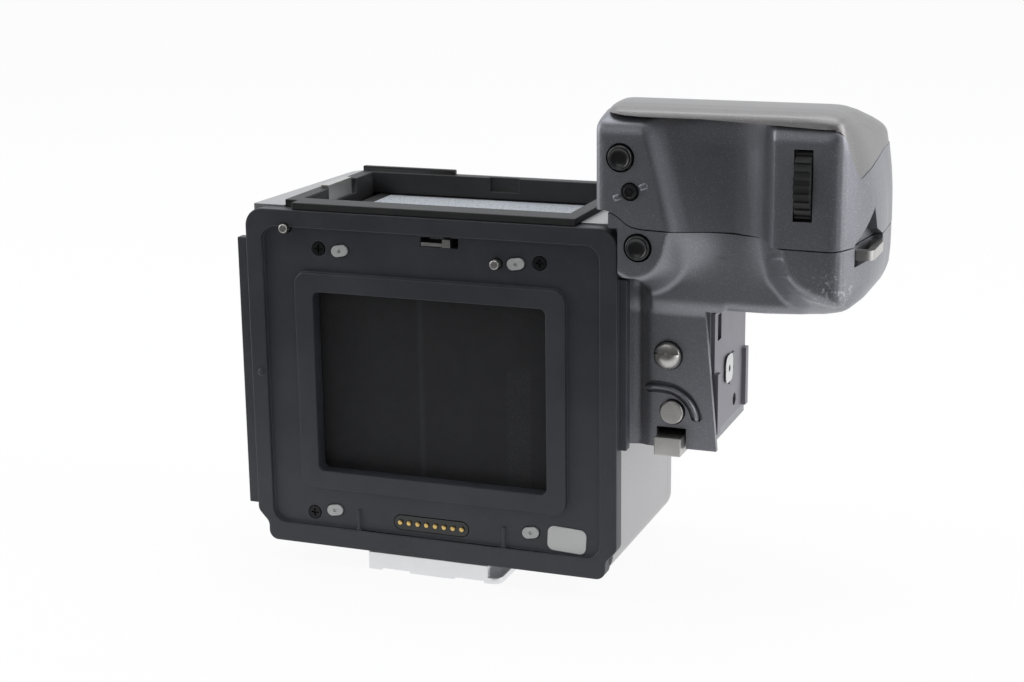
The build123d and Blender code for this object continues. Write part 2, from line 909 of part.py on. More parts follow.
def body_block(inset):
    """The outer form of the covers, drawn in on every side but the rear."""
    with BuildPart() as block:
        with BuildSketch(Plane.XY.offset(cover_low_z + inset)) as plan:
            with BuildLine():
                Polyline(
                    (-cover_left_rear + inset, plate_y - inset),
                    (cover_right - inset, plate_y - inset),
                    (cover_right - inset, cover_front_y - inset),
                    (-cover_left_front + inset, cover_front_y - inset),
                    close=True,
                )
            make_face()
            fillet(plan.vertices().group_by(Axis.Y)[-1], cover_corner - inset)
        extrude(amount=cover_up + cover_down - 2 * inset)
        low_edges = block.faces().sort_by(Axis.Z)[0].edges().sort_by(Axis.Y)
        fillet(low_edges[1:], cover_low_corner - inset)
    return block.part


def finder_hole():
    """The rectangle in the top of the covers round the finder well."""
    slab(
        (-finder_left - fit_gap, finder_right + fit_gap),
        (plate_y - overrun, finder_front_y + fit_gap),
        (finder_low_z, finder_top_z),
        Mode.SUBTRACT,
    )


outer_block = body_block(0)
inner_block = body_block(cover_wall)


def cover_piece(x_span, y_span, z_span):
    """The hollow block kept within limits, in the part that is being built."""
    add(outer_block)
    add(inner_block, mode=Mode.SUBTRACT)
    slab(x_span, y_span, z_span, Mode.INTERSECT)
    finder_hole()


whole_z = (cover_low_z, cover_top_z)
side_y = (plate_y, cover_front_split)
lug_t = 2.2
lug_width = 14.0
left_lug_y = rear_y + 30.0
left_lug_z = axis_z + 29.0
left_lug_x = (-50.2, -41.8)
left_slot_x = (-48.8, -46.4)
lug_slot = 10.0


def left_lug_box(gap, mode=Mode.ADD):
    """The left strap lug's block, or with a gap its hole in the cover."""
    slab(
        left_lug_x,
        (left_lug_y - lug_width / 2 - gap, left_lug_y + lug_width / 2 + gap),
        (left_lug_z - lug_t / 2 - gap, left_lug_z + lug_t / 2 + gap),
        mode,
    )


with BuildPart() as left_cover:
    cover_piece((-cover_left_rear, -cover_side_split), side_y, whole_z)
    left_lug_box(run_gap, Mode.SUBTRACT)
save(left_cover, "left_cover")

with BuildPart() as right_cover:
    cover_piece((cover_side_split, cover_right), side_y, whole_z)
save(right_cover, "right_cover")

with BuildPart() as bottom_cover:
    cover_piece((-cover_side_split, cover_side_split), side_y, whole_z)
    for x, y in base_screws:
        rod((x, y, cover_low_z), (x, y, cover_floor_z), base_screw_r + fit_gap, Mode.SUBTRACT)
save(bottom_cover, "bottom_cover")

with BuildPart() as front_panel:
    cover_piece((-cover_left_rear, cover_right), (cover_front_split, cover_front_y), whole_z)
    rod(
        (0, cover_front_split, axis_z),
        (0, cover_front_y, axis_z),
        ring_r + fit_gap,
        Mode.SUBTRACT,
    )
    for x, z in panel_buttons.values():
        rod(
            (x, cover_front_split, axis_z + z),
            (x, cover_front_y, axis_z + z),
            panel_button_r + slide_gap,
            Mode.SUBTRACT,
        )
save(front_panel, "front_panel")

# Buttons of the front panel
for button_name, (x, z) in panel_buttons.items():
    lip_in = casting_front_y + run_gap
    lip_out = cover_front_y - cover_wall - run_gap
    with BuildPart() as panel_button:
        rod((x, lip_in, axis_z + z), (x, lip_out, axis_z + z), panel_button_r + panel_lip)
        rod((x, lip_in, axis_z + z), (x, cover_front_y + panel_button_out, axis_z + z), panel_button_r)
        fillet(panel_button.edges().group_by(Axis.Y)[-1], panel_button_out / 2)
    save(panel_button, button_name)


# Tripod plate under the body
base_plate_half = 17.4
base_plate_t = 1.6
base_y = (rear_y + 1.0, rear_y + 45.0)
base_rail_half = 12.5
base_rail_y = (rear_y + 3.6, rear_y + 43.6)
base_wall_t = 1.6
base_wall_x = (-17.4, 14.2)
base_wall_top = 4.6
base_notches = [(-14.0, -6.5), (5.4, 13.0)]
base_notch_tall = 0.5
base_corner = 2.5
socket_r = 2.55
base_head_r = 2.2
base_head_t = 1.4

with BuildPart() as tripod_plate:
    slab((-base_plate_half, base_plate_half), base_y, (0, base_plate_t))
    fillet(tripod_plate.edges().filter_by(Axis.Z), base_corner)
    slab((-base_rail_half, base_rail_half), base_rail_y, (base_plate_t, cover_low_z))
    slab(base_wall_x, (base_y[0], base_y[0] + base_wall_t), (0, base_wall_top))
    for notch in base_notches:
        slab(notch, (base_y[0], base_y[0] + 2 * base_wall_t), (0, base_notch_tall), Mode.SUBTRACT)
    rod((0, 0, 0), (0, 0, cover_low_z), socket_r, Mode.SUBTRACT)
    for x, y in base_screws:
        rod((x, y, 0), (x, y, base_head_t + fit_gap), base_head_r + fit_gap, Mode.SUBTRACT)
        rod((x, y, 0), (x, y, cover_low_z), base_screw_r + fit_gap, Mode.SUBTRACT)
save(tripod_plate, "tripod_plate")

with BuildPart() as tripod_plate_screws:
    for x, y in base_screws:
        rod((x, y, fit_gap), (x, y, base_head_t + fit_gap), base_head_r)
        rod((x, y, base_head_t + fit_gap), (x, y, cover_floor_z + base_screw_reach - fit_gap), base_screw_r)
    with BuildSketch(Plane.XY.offset(fit_gap)):
        with Locations(*base_screws):
            Rectangle(cross_length, cross_width)
            Rectangle(cross_width, cross_length)
    extrude(amount=cross_depth, mode=Mode.SUBTRACT)
save(tripod_plate_screws, "tripod_plate_screws")


# Lens mount
ring_lip_r = 38.2
ring_tab_r = 30.8
ring_tab_t = 2.0
ring_register = 1.6
ring_back_r = 32.1
ring_tab_turns = (90.0, 210.0, 330.0)
ring_tab_width = 40.0
ring_head_r = 1.7
ring_head_t = 1.0
lock_pin_out = 1.4
lens_contact_half = 7.8
lens_contact_z = (-31.0, -27.6)
lens_contact_t = 4.4
lens_contact_count = 10
lens_contact_pitch = 1.5
lens_contact_r = 0.5
lens_contact_out = 0.5
ring_screws = [polar_point((0, axis_z), ring_screw_place, turn) for turn in ring_screw_turns]
lock_pin_place = polar_point((0, axis_z), ring_screw_place, lock_pin_turn)

with BuildPart() as lens_mount_ring:
    rod((0, casting_front_y, axis_z), (0, flange_y, axis_z), ring_r)
    rod((0, cover_front_y + fit_gap, axis_z), (0, flange_y, axis_z), ring_lip_r)
    rod((0, casting_front_y, axis_z), (0, flange_y, axis_z), ring_back_r, Mode.SUBTRACT)
    rod((0, flange_y - ring_register, axis_z), (0, flange_y, axis_z), ring_in_r, Mode.SUBTRACT)
    with BuildSketch(rear_plane(flange_y - ring_register)):
        for turn in ring_tab_turns:
            with PolarLocations((ring_in_r + ring_tab_r) / 2, 1, start_angle=turn):
                Rectangle(ring_in_r - ring_tab_r + overrun, ring_in_r * 2 * sin(radians(ring_tab_width / 2)))
        Circle(ring_in_r + overrun / 2, mode=Mode.INTERSECT)
    extrude(amount=ring_tab_t)
    for across, up in ring_screws:
        rod((across, flange_y - ring_head_t, up), (across, flange_y, up), ring_head_r, Mode.SUBTRACT)
        rod((across, casting_front_y, up), (across, flange_y, up), ring_screw_r + fit_gap, Mode.SUBTRACT)
    rod(
        (lock_pin_place[0], casting_front_y, lock_pin_place[1]),
        (lock_pin_place[0], flange_y, lock_pin_place[1]),
        lock_pin_r + slide_gap,
        Mode.SUBTRACT,
    )
save(lens_mount_ring, "lens_mount_ring")

with BuildPart() as lens_mount_screws:
    for across, up in ring_screws:
        rod((across, flange_y - ring_head_t, up), (across, flange_y, up), ring_head_r - fit_gap)
        rod(
            (across, casting_front_y - ring_screw_reach, up),
            (across, flange_y - ring_head_t, up),
            ring_screw_r,
        )
    with BuildSketch(rear_plane(flange_y)):
        with Locations(*[(across, up - axis_z) for across, up in ring_screws]):
            Rectangle(cross_length, cross_width)
            Rectangle(cross_width, cross_length)
    extrude(amount=cross_depth, mode=Mode.SUBTRACT)
save(lens_mount_screws, "lens_mount_screws")

with BuildPart() as lens_lock_pin:
    rod(
        (lock_pin_place[0], casting_front_y - lock_pin_root, lock_pin_place[1]),
        (lock_pin_place[0], flange_y + lock_pin_out, lock_pin_place[1]),
        lock_pin_r,
    )
    fillet(lens_lock_pin.edges().group_by(Axis.Y)[-1], lock_pin_r / 2)
save(lens_lock_pin, "lens_lock_pin")

lens_contact_xs = [
    lens_contact_pitch * (step - (lens_contact_count - 1) / 2) for step in range(lens_contact_count)
]
lens_contact_mid_z = axis_z + span_middle(lens_contact_z)
lens_contact_y = casting_front_y + lens_contact_t

with BuildPart() as lens_contacts:
    slab(
        (-lens_contact_half, lens_contact_half),
        (casting_front_y, lens_contact_y),
        (axis_z + lens_contact_z[0], axis_z + lens_contact_z[1]),
    )
    for x in lens_contact_xs:
        rod(
            (x, casting_front_y, lens_contact_mid_z),
            (x, lens_contact_y + lens_contact_out, lens_contact_mid_z),
            lens_contact_r,
        )
save(lens_contacts, "lens_contacts")


# Focus sensor on the floor of the chamber and the board beside it
sensor_half = 9.0
sensor_y = (rear_y + 20.0, rear_y + 34.0)
sensor_t = 3.5
sensor_window = 6.0
sensor_window_depth = 0.8
chip_t = 1.6
chip_shares = [(0.3, 0.3, 0.3, 0.2), (0.65, 0.62, 0.4, 0.26), (0.35, 0.8, 0.24, 0.12), (0.72, 0.2, 0.2, 0.12)]

with BuildPart() as focus_sensor:
    slab((-sensor_half, sensor_half), sensor_y, (chamber_low_z, chamber_low_z + sensor_t))
    slab(
        (-sensor_window, sensor_window),
        (span_middle(sensor_y) - sensor_window / 2, span_middle(sensor_y) + sensor_window / 2),
        (chamber_low_z + sensor_t - sensor_window_depth, chamber_low_z + sensor_t),
        Mode.SUBTRACT,
    )
save(focus_sensor, "focus_sensor")

board_x = tunnel_out + board_gap
with BuildPart() as main_board:
    slab((board_x, board_x + board_t), board_y, board_z)
    for y_share, z_share, wide_share, tall_share in chip_shares:
        chip_y = board_y[0] + y_share * (board_y[1] - board_y[0])
        chip_z = board_z[0] + z_share * (board_z[1] - board_z[0])
        chip_wide = wide_share * (board_y[1] - board_y[0]) / 2
        chip_tall = tall_share * (board_z[1] - board_z[0]) / 2
        slab(
            (board_x + board_t, board_x + board_t + chip_t),
            (chip_y - chip_wide, chip_y + chip_wide),
            (chip_z - chip_tall, chip_z + chip_tall),
        )
save(main_board, "main_board")


# Outline of the grip's head, seen from above, from the front and from the side
hollow_start = 57.5
hollow_floor = (72.5, rear_y + 8.8)
hollow_left_bulge = 0.9
hollow_right_bulge = 2.4
hollow_end = 81.5
panel_end = 96.0
head_right = 103.2
rear_corner_bulge = 3.4
side_y_of_bulge = rear_y + 27.0
front_start = 84.0
front_bulge = 6.0
front_end = 48.0
left_front_y = rear_y + 51.0
top_flat_start = 47.5
top_flat_end = 82.0
shoulder_up = 71.0
left_shoulder = 64.0
left_shoulder_bulge = 1.8
flap_x = 98.4
flap_up = 56.5
flap_bulge = 2.8
bulge_x = 102.6
bulge_up = 44.0
bulge_round = 1.2
low_end_x = 86.0
low_round = 5.2
rear_crown_up = 65.5
rear_crown_y = rear_y + 14.0
rear_crown = 1.8
front_crown_up = 53.0
front_crown_y = rear_y + 50.0
front_crown = 1.2
top_tilt = 16.0
head_reach = head_right + overrun
crest = (rear_crown_y, head_top_z)
front_crown_z = head_top_z - (front_crown_y - rear_crown_y) * tan(radians(top_tilt))
top_axis = Axis((0, *crest), (1, 0, 0))


def head_block(inset):
    """The head's outer form, drawn in on every side: plan, front and side outlines together."""
    with BuildPart() as block:
        with BuildSketch(Plane.XY.offset(head_low_z - overrun)):
            with BuildLine():
                Line((head_left, left_front_y), (head_left, head_rear_y))
                Line((head_left, head_rear_y), (hollow_start, head_rear_y))
                SagittaArc((hollow_start, head_rear_y), hollow_floor, hollow_left_bulge)
                SagittaArc(hollow_floor, (hollow_end, head_rear_y), hollow_right_bulge)
                Line((hollow_end, head_rear_y), (panel_end, head_rear_y))
                SagittaArc(
                    (panel_end, head_rear_y), (head_right, side_y_of_bulge), -rear_corner_bulge
                )
                SagittaArc((head_right, side_y_of_bulge), (front_start, head_front_y), -front_bulge)
                Line((front_start, head_front_y), (front_end, head_front_y))
                Line((front_end, head_front_y), (head_left, left_front_y))
            make_face()
            if inset:
                offset(amount=-inset)
        extrude(amount=head_top_z - head_low_z + 2 * overrun)
        left = head_left - overrun
        with BuildSketch(rear_plane(head_rear_y - overrun)):
            with BuildLine():
                Line((left, head_low_z - axis_z), (left, left_shoulder))
                SagittaArc(
                    (left, left_shoulder), (top_flat_start, shoulder_up), left_shoulder_bulge
                )
                Line((top_flat_start, shoulder_up), (top_flat_end, shoulder_up))
                SagittaArc((top_flat_end, shoulder_up), (flap_x, flap_up), flap_bulge)
                SagittaArc((flap_x, flap_up), (bulge_x, bulge_up), bulge_round)
                SagittaArc((bulge_x, bulge_up), (low_end_x, head_low_z - axis_z), low_round)
                Line((low_end_x, head_low_z - axis_z), (left, head_low_z - axis_z))
            make_face()
            if inset:
                offset(amount=-inset)
        extrude(amount=-(head_front_y - head_rear_y + 2 * overrun), mode=Mode.INTERSECT)
        rear = head_rear_y - overrun
        front = head_front_y + overrun
        low = head_low_z - overrun
        with BuildSketch(side_plane(head_left - overrun)):
            with BuildLine():
                Line((rear, low), (rear, axis_z + rear_crown_up))
                SagittaArc((rear, axis_z + rear_crown_up), crest, rear_crown)
                Line(crest, (front_crown_y, front_crown_z))
                SagittaArc(
                    (front_crown_y, front_crown_z), (front, axis_z + front_crown_up), front_crown
                )
                Line((front, axis_z + front_crown_up), (front, low))
                Line((front, low), (rear, low))
            make_face()
            if inset:
                offset(amount=-inset)
        extrude(amount=head_right - head_left + 2 * overrun, mode=Mode.INTERSECT)
    return block.part


head_outer = head_block(0)

# Column that carries the battery grip, and the bump round the lowest rear button
column_left = cover_right + fit_gap
column_right = 66.0
column_rear_y = rear_y + 9.0
column_front_y = rear_y + 44.0
column_low_z = axis_z - 10.5
bump_left = 47.3
bump_right = 57.5
bump_low_z = axis_z + 30.8
head_y = (head_rear_y - overrun, head_front_y + overrun)
lower_line = [
    (head_left - overrun, 46.3),
    (45.8, 46.3),
    (51.0, 42.9),
    (60.0, 42.2),
    (82.0, 40.2),
    (head_reach, 40.2),
]
lobe_line = [(82.4, 40.0), (83.9, 35.7), (86.9, 31.9), (90.9, 29.3), (96.9, 28.0), (101.8, 30.3)]

with BuildPart() as seam_region:
    with BuildSketch(rear_plane(head_y[0])):
        Polygon(
            *lower_line,
            (head_reach, head_low_z - axis_z),
            (head_left - overrun, head_low_z - axis_z),
            align=None,
        )
    extrude(amount=head_y[0] - head_y[1])


def lobe_cut(inset):
    """What is cut away under and beside the lobe, drawn in on every side."""
    with BuildPart() as cut:
        with BuildSketch(rear_plane(column_rear_y + inset)):
            Polygon(
                *lobe_line,
                (head_reach, bump_low_z - axis_z),
                (head_reach, head_low_z - axis_z - overrun),
                (bump_right, head_low_z - axis_z - overrun),
                (bump_right, lobe_line[0][1]),
                align=None,
            )
            if inset:
                offset(amount=inset)
        extrude(amount=column_rear_y + inset - head_y[0])
    return cut.part



def lower_block(inset, head):
    """The lower shell's outer form with its column, drawn in on every side."""
    with BuildPart() as block:
        add(head)
        slab((column_left + inset, head_reach), head_y, (head_low_z, cover_seam_z), Mode.INTERSECT)
        slab(
            (column_left - overrun, bump_left + inset),
            (head_rear_y - overrun, plate_y + free_gap + inset),
            (head_low_z - overrun, axis_z + plate_up + free_gap + inset),
            Mode.SUBTRACT,
        )
        slab(
            (column_left - overrun, bump_right + inset),
            (head_rear_y - overrun, column_rear_y + inset),
            (head_low_z - overrun, bump_low_z + inset),
            Mode.SUBTRACT,
        )
        slab(
            (column_left + inset, column_right - inset),
            (column_rear_y + inset, column_front_y - inset),
            (column_low_z + inset, head_low_z + inset + overrun),
        )
        add(lobe_cut(inset), mode=Mode.SUBTRACT)
    return block.part


lower_outer = lower_block(0, head_outer)
lower_inner = lower_block(grip_wall, head_block(grip_wall))
upper_inner = head_block(grip_wall)
cover_inner = head_block(grip_wall)

# Rear buttons, the pocket of the strap lug and the parts set into the column
rear_buttons = {
    "focus_button": (47.9, 58.5, 3.0),
    "select_button": (50.2, 51.0, 1.8),
    "exposure_lock_button": (52.0, 38.4, 3.0),
}
rear_button_out = 0.8
rear_button_lip = 0.6
rear_button_lip_t = 1.0
rear_button_travel = 0.8
pocket_x = 98.2
pocket_floor = 2.4
pocket_y = (rear_y + 4.5, rear_y + 19.5)
pocket_z = (axis_z + 33.0, axis_z + 47.5)
lug_x = (95.8, 103.6)
lug_slot_x = (99.6, 102.0)
lug_y = (rear_y + 5.0, rear_y + 19.0)
lug_z = axis_z + 38.6
side_open_y = (rear_y + 12.0, rear_y + 41.0)
side_open_z = (axis_z - 7.5, axis_z + 21.5)
lock_place = (56.6, 11.6)
lock_r = 3.3
lock_out = 0.4
release_place = (57.7, -1.8)
release_r = 2.8
release_out = 1.2
press_lip = 0.9
press_lip_t = 1.0
press_travel = 1.2
latch_x = (54.3, 60.7)
latch_z = (axis_z - 11.6, axis_z - 7.2)
latch_rear_y = rear_y + 5.4
latch_foot = 1.5
latch_travel = 1.2
guard_r = 5.7
guard_t = 1.3
guard_out = 1.4
guard_from = -5.0
guard_sweep = 105.0
latch_front_y = column_rear_y + grip_wall + latch_foot

# Flap of the top cover, reaching down the head's right side
cover_bend_y = rear_y + 13.0
flap_left = 84.0
flap_shape = [
    (rear_y + 11.5, cover_seam_z),
    (rear_y + 13.5, axis_z + 63.2),
    (rear_y + 22.5, axis_z + 52.6),
    (rear_y + 38.0, axis_z + 54.0),
    (rear_y + 40.0, cover_seam_z),
]

with BuildPart() as flap_region:
    with BuildSketch(side_plane(flap_left)):
        Polygon(*flap_shape, align=None)
    extrude(amount=head_reach - flap_left)

with BuildPart() as cover_region:
    with BuildSketch(side_plane(head_left)):
        Polygon(
            (head_y[0], cover_seam_z),
            (cover_bend_y, cover_seam_z),
            (head_y[1], cover_seam_z - (head_y[1] - cover_bend_y) * tan(radians(top_tilt))),
            (head_y[1], head_top_z + overrun),
            (head_y[0], head_top_z + overrun),
            align=None,
        )
    extrude(amount=head_reach - head_left)
    add(flap_region.part)

with BuildPart() as lower_region:
    add(seam_region.part)
    slab((column_left, column_right), head_y, (column_low_z, head_low_z))

with BuildPart() as lug_boss:
    add(head_outer)
    slab(
        (pocket_x - pocket_floor, head_reach),
        (pocket_y[0] - pocket_floor, pocket_y[1] + pocket_floor),
        (pocket_z[0] - pocket_floor, pocket_z[1] + pocket_floor),
        Mode.INTERSECT,
    )


def lug_pocket():
    """The recess round the strap lug, cut from the shell that is being built."""
    slab((pocket_x, head_reach), pocket_y, pocket_z, Mode.SUBTRACT)
    slab(
        (lug_x[0], pocket_x),
        (lug_y[0] - run_gap, lug_y[1] + run_gap),
        (lug_z - lug_t / 2 - run_gap, lug_z + lug_t / 2 + run_gap),
        Mode.SUBTRACT,
    )


def rear_button_holes():
    """The holes and inner wells of the rear buttons, cut from the shell that is being built."""
    for x, z, radius in rear_buttons.values():
        inner_y = head_rear_y + grip_wall
        well_y = inner_y + rear_button_lip_t + rear_button_travel + slide_gap
        rod((x, head_rear_y, axis_z + z), (x, inner_y, axis_z + z), radius + slide_gap, Mode.SUBTRACT)
        rod(
            (x, inner_y, axis_z + z),
            (x, well_y, axis_z + z),
            radius + rear_button_lip + slide_gap,
            Mode.SUBTRACT,
        )


# Dials: a ribbed wheel on a pressed axle between two ears
dial_width = 3.6
dial_r = {"rear_dial": 11.0, "front_dial": 8.0}
dial_x = {"rear_dial": 89.0, "front_dial": 74.0}
dial_z = {"rear_dial": axis_z + 54.2, "front_dial": axis_z + 48.2}
dial_out = {"rear_dial": 2.2, "front_dial": 1.6}
dial_face_y = {"rear_dial": head_rear_y, "front_dial": head_front_y}
dial_inward = {"rear_dial": 1, "front_dial": -1}
dial_ribs = 36
dial_rib_t = 0.7
dial_rib_depth = 0.45
dial_axle_r = 1.5
ear_t = 1.4
ear_half = 3.0
ear_over = 2.6
dial_side_gap = 0.3
dial_gap = 0.8
dial_y = {
    name: dial_face_y[name] + dial_inward[name] * (dial_r[name] - dial_out[name]) for name in dial_r
}


def dial_mount(name):
    """The slot and the two ears of a dial, in the shell that is being built."""
    x = dial_x[name]
    inward = dial_inward[name]
    face = dial_face_y[name]
    half = dial_width / 2 + dial_side_gap
    reach = dial_y[name] + inward * ear_over
    root = face + inward * grip_wall / 2
    for side in (-1, 1):
        slab(
            (min(x + side * half, x + side * (half + ear_t)), max(x + side * half, x + side * (half + ear_t))),
            (min(root, reach), max(root, reach)),
            (dial_z[name] - ear_half, dial_z[name] + ear_half),
        )
    rod(
        (x - half - ear_t, dial_y[name], dial_z[name]),
        (x + half + ear_t, dial_y[name], dial_z[name]),
        dial_axle_r,
        Mode.SUBTRACT,
    )
    rod(
        (x - half, dial_y[name], dial_z[name]),
        (x + half, dial_y[name], dial_z[name]),
        dial_r[name] + dial_gap,
        Mode.SUBTRACT,
    )


with BuildPart() as grip_upper_shell:
    add(head_outer)
    add(upper_inner, mode=Mode.SUBTRACT)
    add(lug_boss.part)
    slab((head_left, head_reach), head_y, (head_low_z, head_top_z), Mode.INTERSECT)
    add(seam_region.part, mode=Mode.SUBTRACT)
    add(cover_region.part, mode=Mode.SUBTRACT)
    lug_pocket()
    rear_button_holes()
    for dial_name in dial_r:
        dial_mount(dial_name)
save(grip_upper_shell, "grip_upper_shell")

with BuildPart() as grip_lower_shell:
    add(lower_outer)
    add(lower_inner, mode=Mode.SUBTRACT)
    add(lug_boss.part)
    add(lower_region.part, mode=Mode.INTERSECT)
    lug_pocket()
    rear_button_holes()
    slab((column_right - grip_wall, column_right), side_open_y, side_open_z, Mode.SUBTRACT)
    with BuildSketch(rear_plane(column_rear_y)):
        with BuildLine():
            outer_arc = CenterArc(release_place, guard_r + guard_t / 2, guard_from, guard_sweep)
            inner_arc = CenterArc(release_place, guard_r - guard_t / 2, guard_from, guard_sweep)
            Line(outer_arc @ 0, inner_arc @ 0)
            Line(outer_arc @ 1, inner_arc @ 1)
        make_face()
    extrude(amount=guard_out)
    for (x, z), radius in ((lock_place, lock_r), (release_place, release_r)):
        rod(
            (x, column_rear_y, axis_z + z),
            (x, column_rear_y + grip_wall, axis_z + z),
            radius + slide_gap,
            Mode.SUBTRACT,
        )
    slab(
        (latch_x[0] - slide_gap, latch_x[1] + slide_gap),
        (latch_rear_y, latch_front_y + slide_gap),
        (column_low_z, latch_z[1] + latch_travel + slide_gap),
        Mode.SUBTRACT,
    )
save(grip_lower_shell, "grip_lower_shell")

for name in dial_r:
    with BuildPart() as dial:
        seat = side_plane(dial_x[name] - dial_width / 2)
        with BuildSketch(seat):
            with Locations((dial_y[name], dial_z[name])):
                Circle(dial_r[name] - dial_rib_depth)
                with PolarLocations(dial_r[name] - dial_rib_depth, dial_ribs):
                    Rectangle(2 * dial_rib_depth, dial_rib_t)
                Circle(dial_axle_r + run_gap, mode=Mode.SUBTRACT)
        extrude(amount=dial_width)
    save(dial, name)

with BuildPart() as dial_axles:
    for name in dial_r:
        half = dial_width / 2 + dial_side_gap + ear_t
        rod(
            (dial_x[name] - half, dial_y[name], dial_z[name]),
            (dial_x[name] + half, dial_y[name], dial_z[name]),
            dial_axle_r,
        )
save(dial_axles, "dial_axles")

for name, (x, z, radius) in rear_buttons.items():
    inner_y = head_rear_y + grip_wall + run_gap
    with BuildPart() as rear_button:
        rod((x, head_rear_y - rear_button_out, axis_z + z), (x, inner_y, axis_z + z), radius)
        rod(
            (x, inner_y, axis_z + z),
            (x, inner_y + rear_button_lip_t, axis_z + z),
            radius + rear_button_lip,
        )
        fillet(rear_button.edges().group_by(Axis.Y)[0], rear_button_out / 2)
    save(rear_button, name)


# Lock, release and latch of the battery grip, on the column
lock_dome_y = column_rear_y - lock_out
press_in_y = column_rear_y + grip_wall + run_gap
lock_step = 0.5

with BuildPart() as battery_lock_button:
    with Locations((lock_place[0], lock_dome_y, axis_z + lock_place[1])):
        Sphere(lock_r)
    slab(
        (lock_place[0] - lock_r, lock_place[0] + lock_r),
        (lock_dome_y, lock_dome_y + lock_r),
        (axis_z + lock_place[1] - lock_r, axis_z + lock_place[1] + lock_r),
        Mode.SUBTRACT,
    )
    slab(
        (lock_place[0] - lock_r, lock_place[0] + lock_r),
        (lock_dome_y - lock_r, lock_dome_y - lock_r / 2),
        (axis_z + lock_place[1], axis_z + lock_place[1] + lock_step),
        Mode.SUBTRACT,
    )
    rod(
        (lock_place[0], lock_dome_y, axis_z + lock_place[1]),
        (lock_place[0], press_in_y, axis_z + lock_place[1]),
        lock_r,
    )
    rod(
        (lock_place[0], press_in_y, axis_z + lock_place[1]),
        (lock_place[0], press_in_y + press_lip_t, axis_z + lock_place[1]),
        lock_r + press_lip,
    )
save(battery_lock_button, "battery_lock_button")

with BuildPart() as battery_release_button:
    x, z = release_place[0], axis_z + release_place[1]
    rod((x, column_rear_y - release_out, z), (x, press_in_y, z), release_r)
    fillet(battery_release_button.edges().group_by(Axis.Y)[0], release_out / 3)
    rod((x, press_in_y, z), (x, press_in_y + press_lip_t, z), release_r + press_lip)
save(battery_release_button, "battery_release_button")

with BuildPart() as battery_latch:
    slab(latch_x, (latch_rear_y, latch_front_y), latch_z)
    slab(
        (latch_x[0] - latch_foot, latch_x[1] + latch_foot),
        (column_rear_y + grip_wall + run_gap, latch_front_y),
        (column_low_z + grip_wall + run_gap, latch_z[1]),
    )
save(battery_latch, "battery_latch")


# Side plate of the column, where the battery grip slides on, and its screws
side_plate_t = 2.6
rail_t = 0.9
rail_width = 2.4
side_slot = (rear_y + 14.6, rear_y + 17.8)
side_slot_z = (axis_z + 14.4, axis_z + 20.6)
side_slot_depth = 1.6
side_screws = [(rear_y + 16.2, axis_z + 18.6), (rear_y + 31.0, axis_z - 3.9)]
side_screw_r = 1.5
side_label = (rear_y + 27.6, axis_z + 4.8)
side_label_size = (6.0, 7.4)
side_label_corner = 1.6
side_label_t = 0.4
side_hole_r = 0.6
side_in_x = column_right - grip_wall
side_out_x = side_in_x + side_plate_t

with BuildPart() as battery_side_plate:
    slab(
        (side_in_x, side_out_x),
        (side_open_y[0] + fit_gap, side_open_y[1] - fit_gap),
        (side_open_z[0] + fit_gap, side_open_z[1] - fit_gap),
    )
    for y in (side_open_y[0] + fit_gap, side_open_y[1] - fit_gap - rail_width):
        slab(
            (side_out_x, side_out_x + rail_t),
            (y, y + rail_width),
            (side_open_z[0] + fit_gap, span_middle(side_open_z)),
        )
    slab((side_out_x - side_slot_depth, side_out_x), side_slot, side_slot_z, Mode.SUBTRACT)
    with BuildSketch(side_plane(side_out_x)):
        with Locations(side_label):
            RectangleRounded(side_label_size[0], side_label_size[1], side_label_corner)
            Circle(side_hole_r, mode=Mode.SUBTRACT)
    extrude(amount=side_label_t)
    for y, z in side_screws:
        rod((side_in_x, y, z), (side_out_x, y, z), side_screw_r, Mode.SUBTRACT)
save(battery_side_plate, "battery_side_plate")

with BuildPart() as battery_side_screws:
    for y, z in side_screws:
        rod((side_in_x, y, z), (side_out_x - side_slot_depth, y, z), side_screw_r)
    with BuildSketch(side_plane(side_out_x - side_slot_depth)):
        with Locations(*side_screws):
            Rectangle(cross_length, cross_width)
            Rectangle(cross_width, cross_length)
    extrude(amount=-cross_depth, mode=Mode.SUBTRACT)
save(battery_side_screws, "battery_side_screws")


# Strap lugs: one in the head's side and one in the left cover
with BuildPart() as strap_lugs:
    slab(lug_x, lug_y, (lug_z - lug_t / 2, lug_z + lug_t / 2))
    slab(
        lug_slot_x,
        (span_middle(lug_y) - lug_slot / 2, span_middle(lug_y) + lug_slot / 2),
        (lug_z - lug_t / 2, lug_z + lug_t / 2),
        Mode.SUBTRACT,
    )
    left_lug_box(0)
    slab(
        left_slot_x,
        (left_lug_y - lug_slot / 2, left_lug_y + lug_slot / 2),
        (left_lug_z - lug_t / 2, left_lug_z + lug_t / 2),
        Mode.SUBTRACT,
    )
    upright = strap_lugs.edges().filter_by(Axis.Z).sort_by(Axis.X)
    fillet(upright[:2] + upright[-2:], lug_t)
save(strap_lugs, "strap_lugs")


